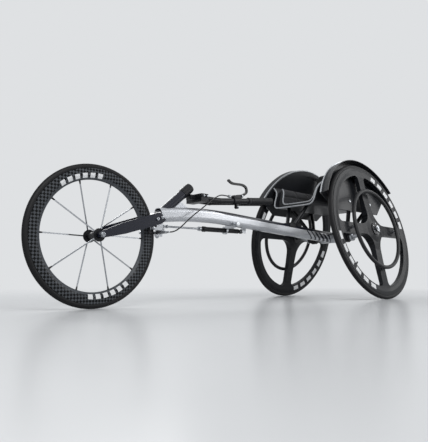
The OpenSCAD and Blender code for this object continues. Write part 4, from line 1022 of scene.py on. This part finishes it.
# %% Floor
bpy.ops.object.select_all(action="DESELECT")
bpy.ops.mesh.primitive_plane_add(size=40, location=(0, 0, 0))
floor = bpy.context.object
floor.name = "studio_floor"
floor_finish, tree, shader, place = finish_named("pale_studio_floor")
specks = add(tree, NOISE, {"Vector": place, "Scale": 1 / 0.4, "Detail": 2})
colour = add(tree, MIX, {0: specks, 6: tone("cfd1d3"), 7: tone("d6d8da")}, data_type="RGBA")
plug(tree, shader, {"Base Color": colour.outputs[2], "Roughness": 0.26, "Specular IOR Level": 0.22})
reach = add(tree, "ShaderNodeVectorMath", {0: place}, operation="LENGTH").outputs["Value"]
fade = add(tree, RANGE, {0: reach, 1: 0.8, 2: 3.2}, interpolation_type="SMOOTHSTEP")
rays = add(tree, "ShaderNodeLightPath").outputs
seen = add(tree, MATH, {0: rays["Is Camera Ray"], 1: rays["Is Glossy Ray"]}, operation="MAXIMUM")
hidden = add(tree, MATH, {0: fade, 1: seen}, operation="MULTIPLY")
far = add(tree, "ShaderNodeEmission", {0: tone("dfe1e3"), 1: 1.0})
blend = add(tree, "ShaderNodeMixShader", {0: hidden, 1: shader, 2: far})
tree.links.new(blend.outputs[0], tree.nodes["Material Output"].inputs[0])
floor.data.materials.append(floor_finish)
print("floor nodes:", len(tree.nodes))


# %% Lamps
def soft_lamp(name, place, aim, size, power):
    bpy.ops.object.light_add(type="AREA", location=place)
    lamp = bpy.context.object
    lamp.name = name
    lamp.data.shape = "RECTANGLE"
    lamp.data.size, lamp.data.size_y = size
    lamp.data.energy = power
    lamp.rotation_euler = (Vector(aim) - Vector(place)).to_track_quat("-Z", "Y").to_euler()


soft_lamp("key_lamp", (1.6, 2.6, 2.6), (0.1, 0, 0.3), (2.4, 1.6), 76)
soft_lamp("fill_lamp", (-2.6, 2.0, 1.6), (-0.4, 0, 0.3), (1.8, 1.8), 30)
soft_lamp("back_lamp", (-0.4, -2.8, 2.2), (0.0, 0, 0.4), (3.0, 0.8), 48)

# %% Surround
world = bpy.data.worlds.new("pale_surround")
bpy.context.scene.world = world
world.use_nodes = True
tree = world.node_tree
tree.nodes.clear()
rays = add(tree, "ShaderNodeLightPath").outputs
through = add(tree, MATH, {0: rays["Is Camera Ray"], 1: rays["Is Transmission Ray"]}, operation="MAXIMUM")
seen = add(tree, MATH, {0: through, 1: rays["Is Glossy Ray"]}, operation="MAXIMUM")
glow = add(tree, "ShaderNodeBackground", {0: tone("c9ccd0"), 1: 0.42})
pale = add(tree, "ShaderNodeBackground", {0: tone("dfe1e3"), 1: 1.0})
both_ways = add(tree, "ShaderNodeMixShader", {0: seen, 1: glow, 2: pale})
add(tree, "ShaderNodeOutputWorld", {0: both_ways})
bpy.context.scene.view_settings.view_transform = "Standard"
print("surround nodes:", len(tree.nodes))
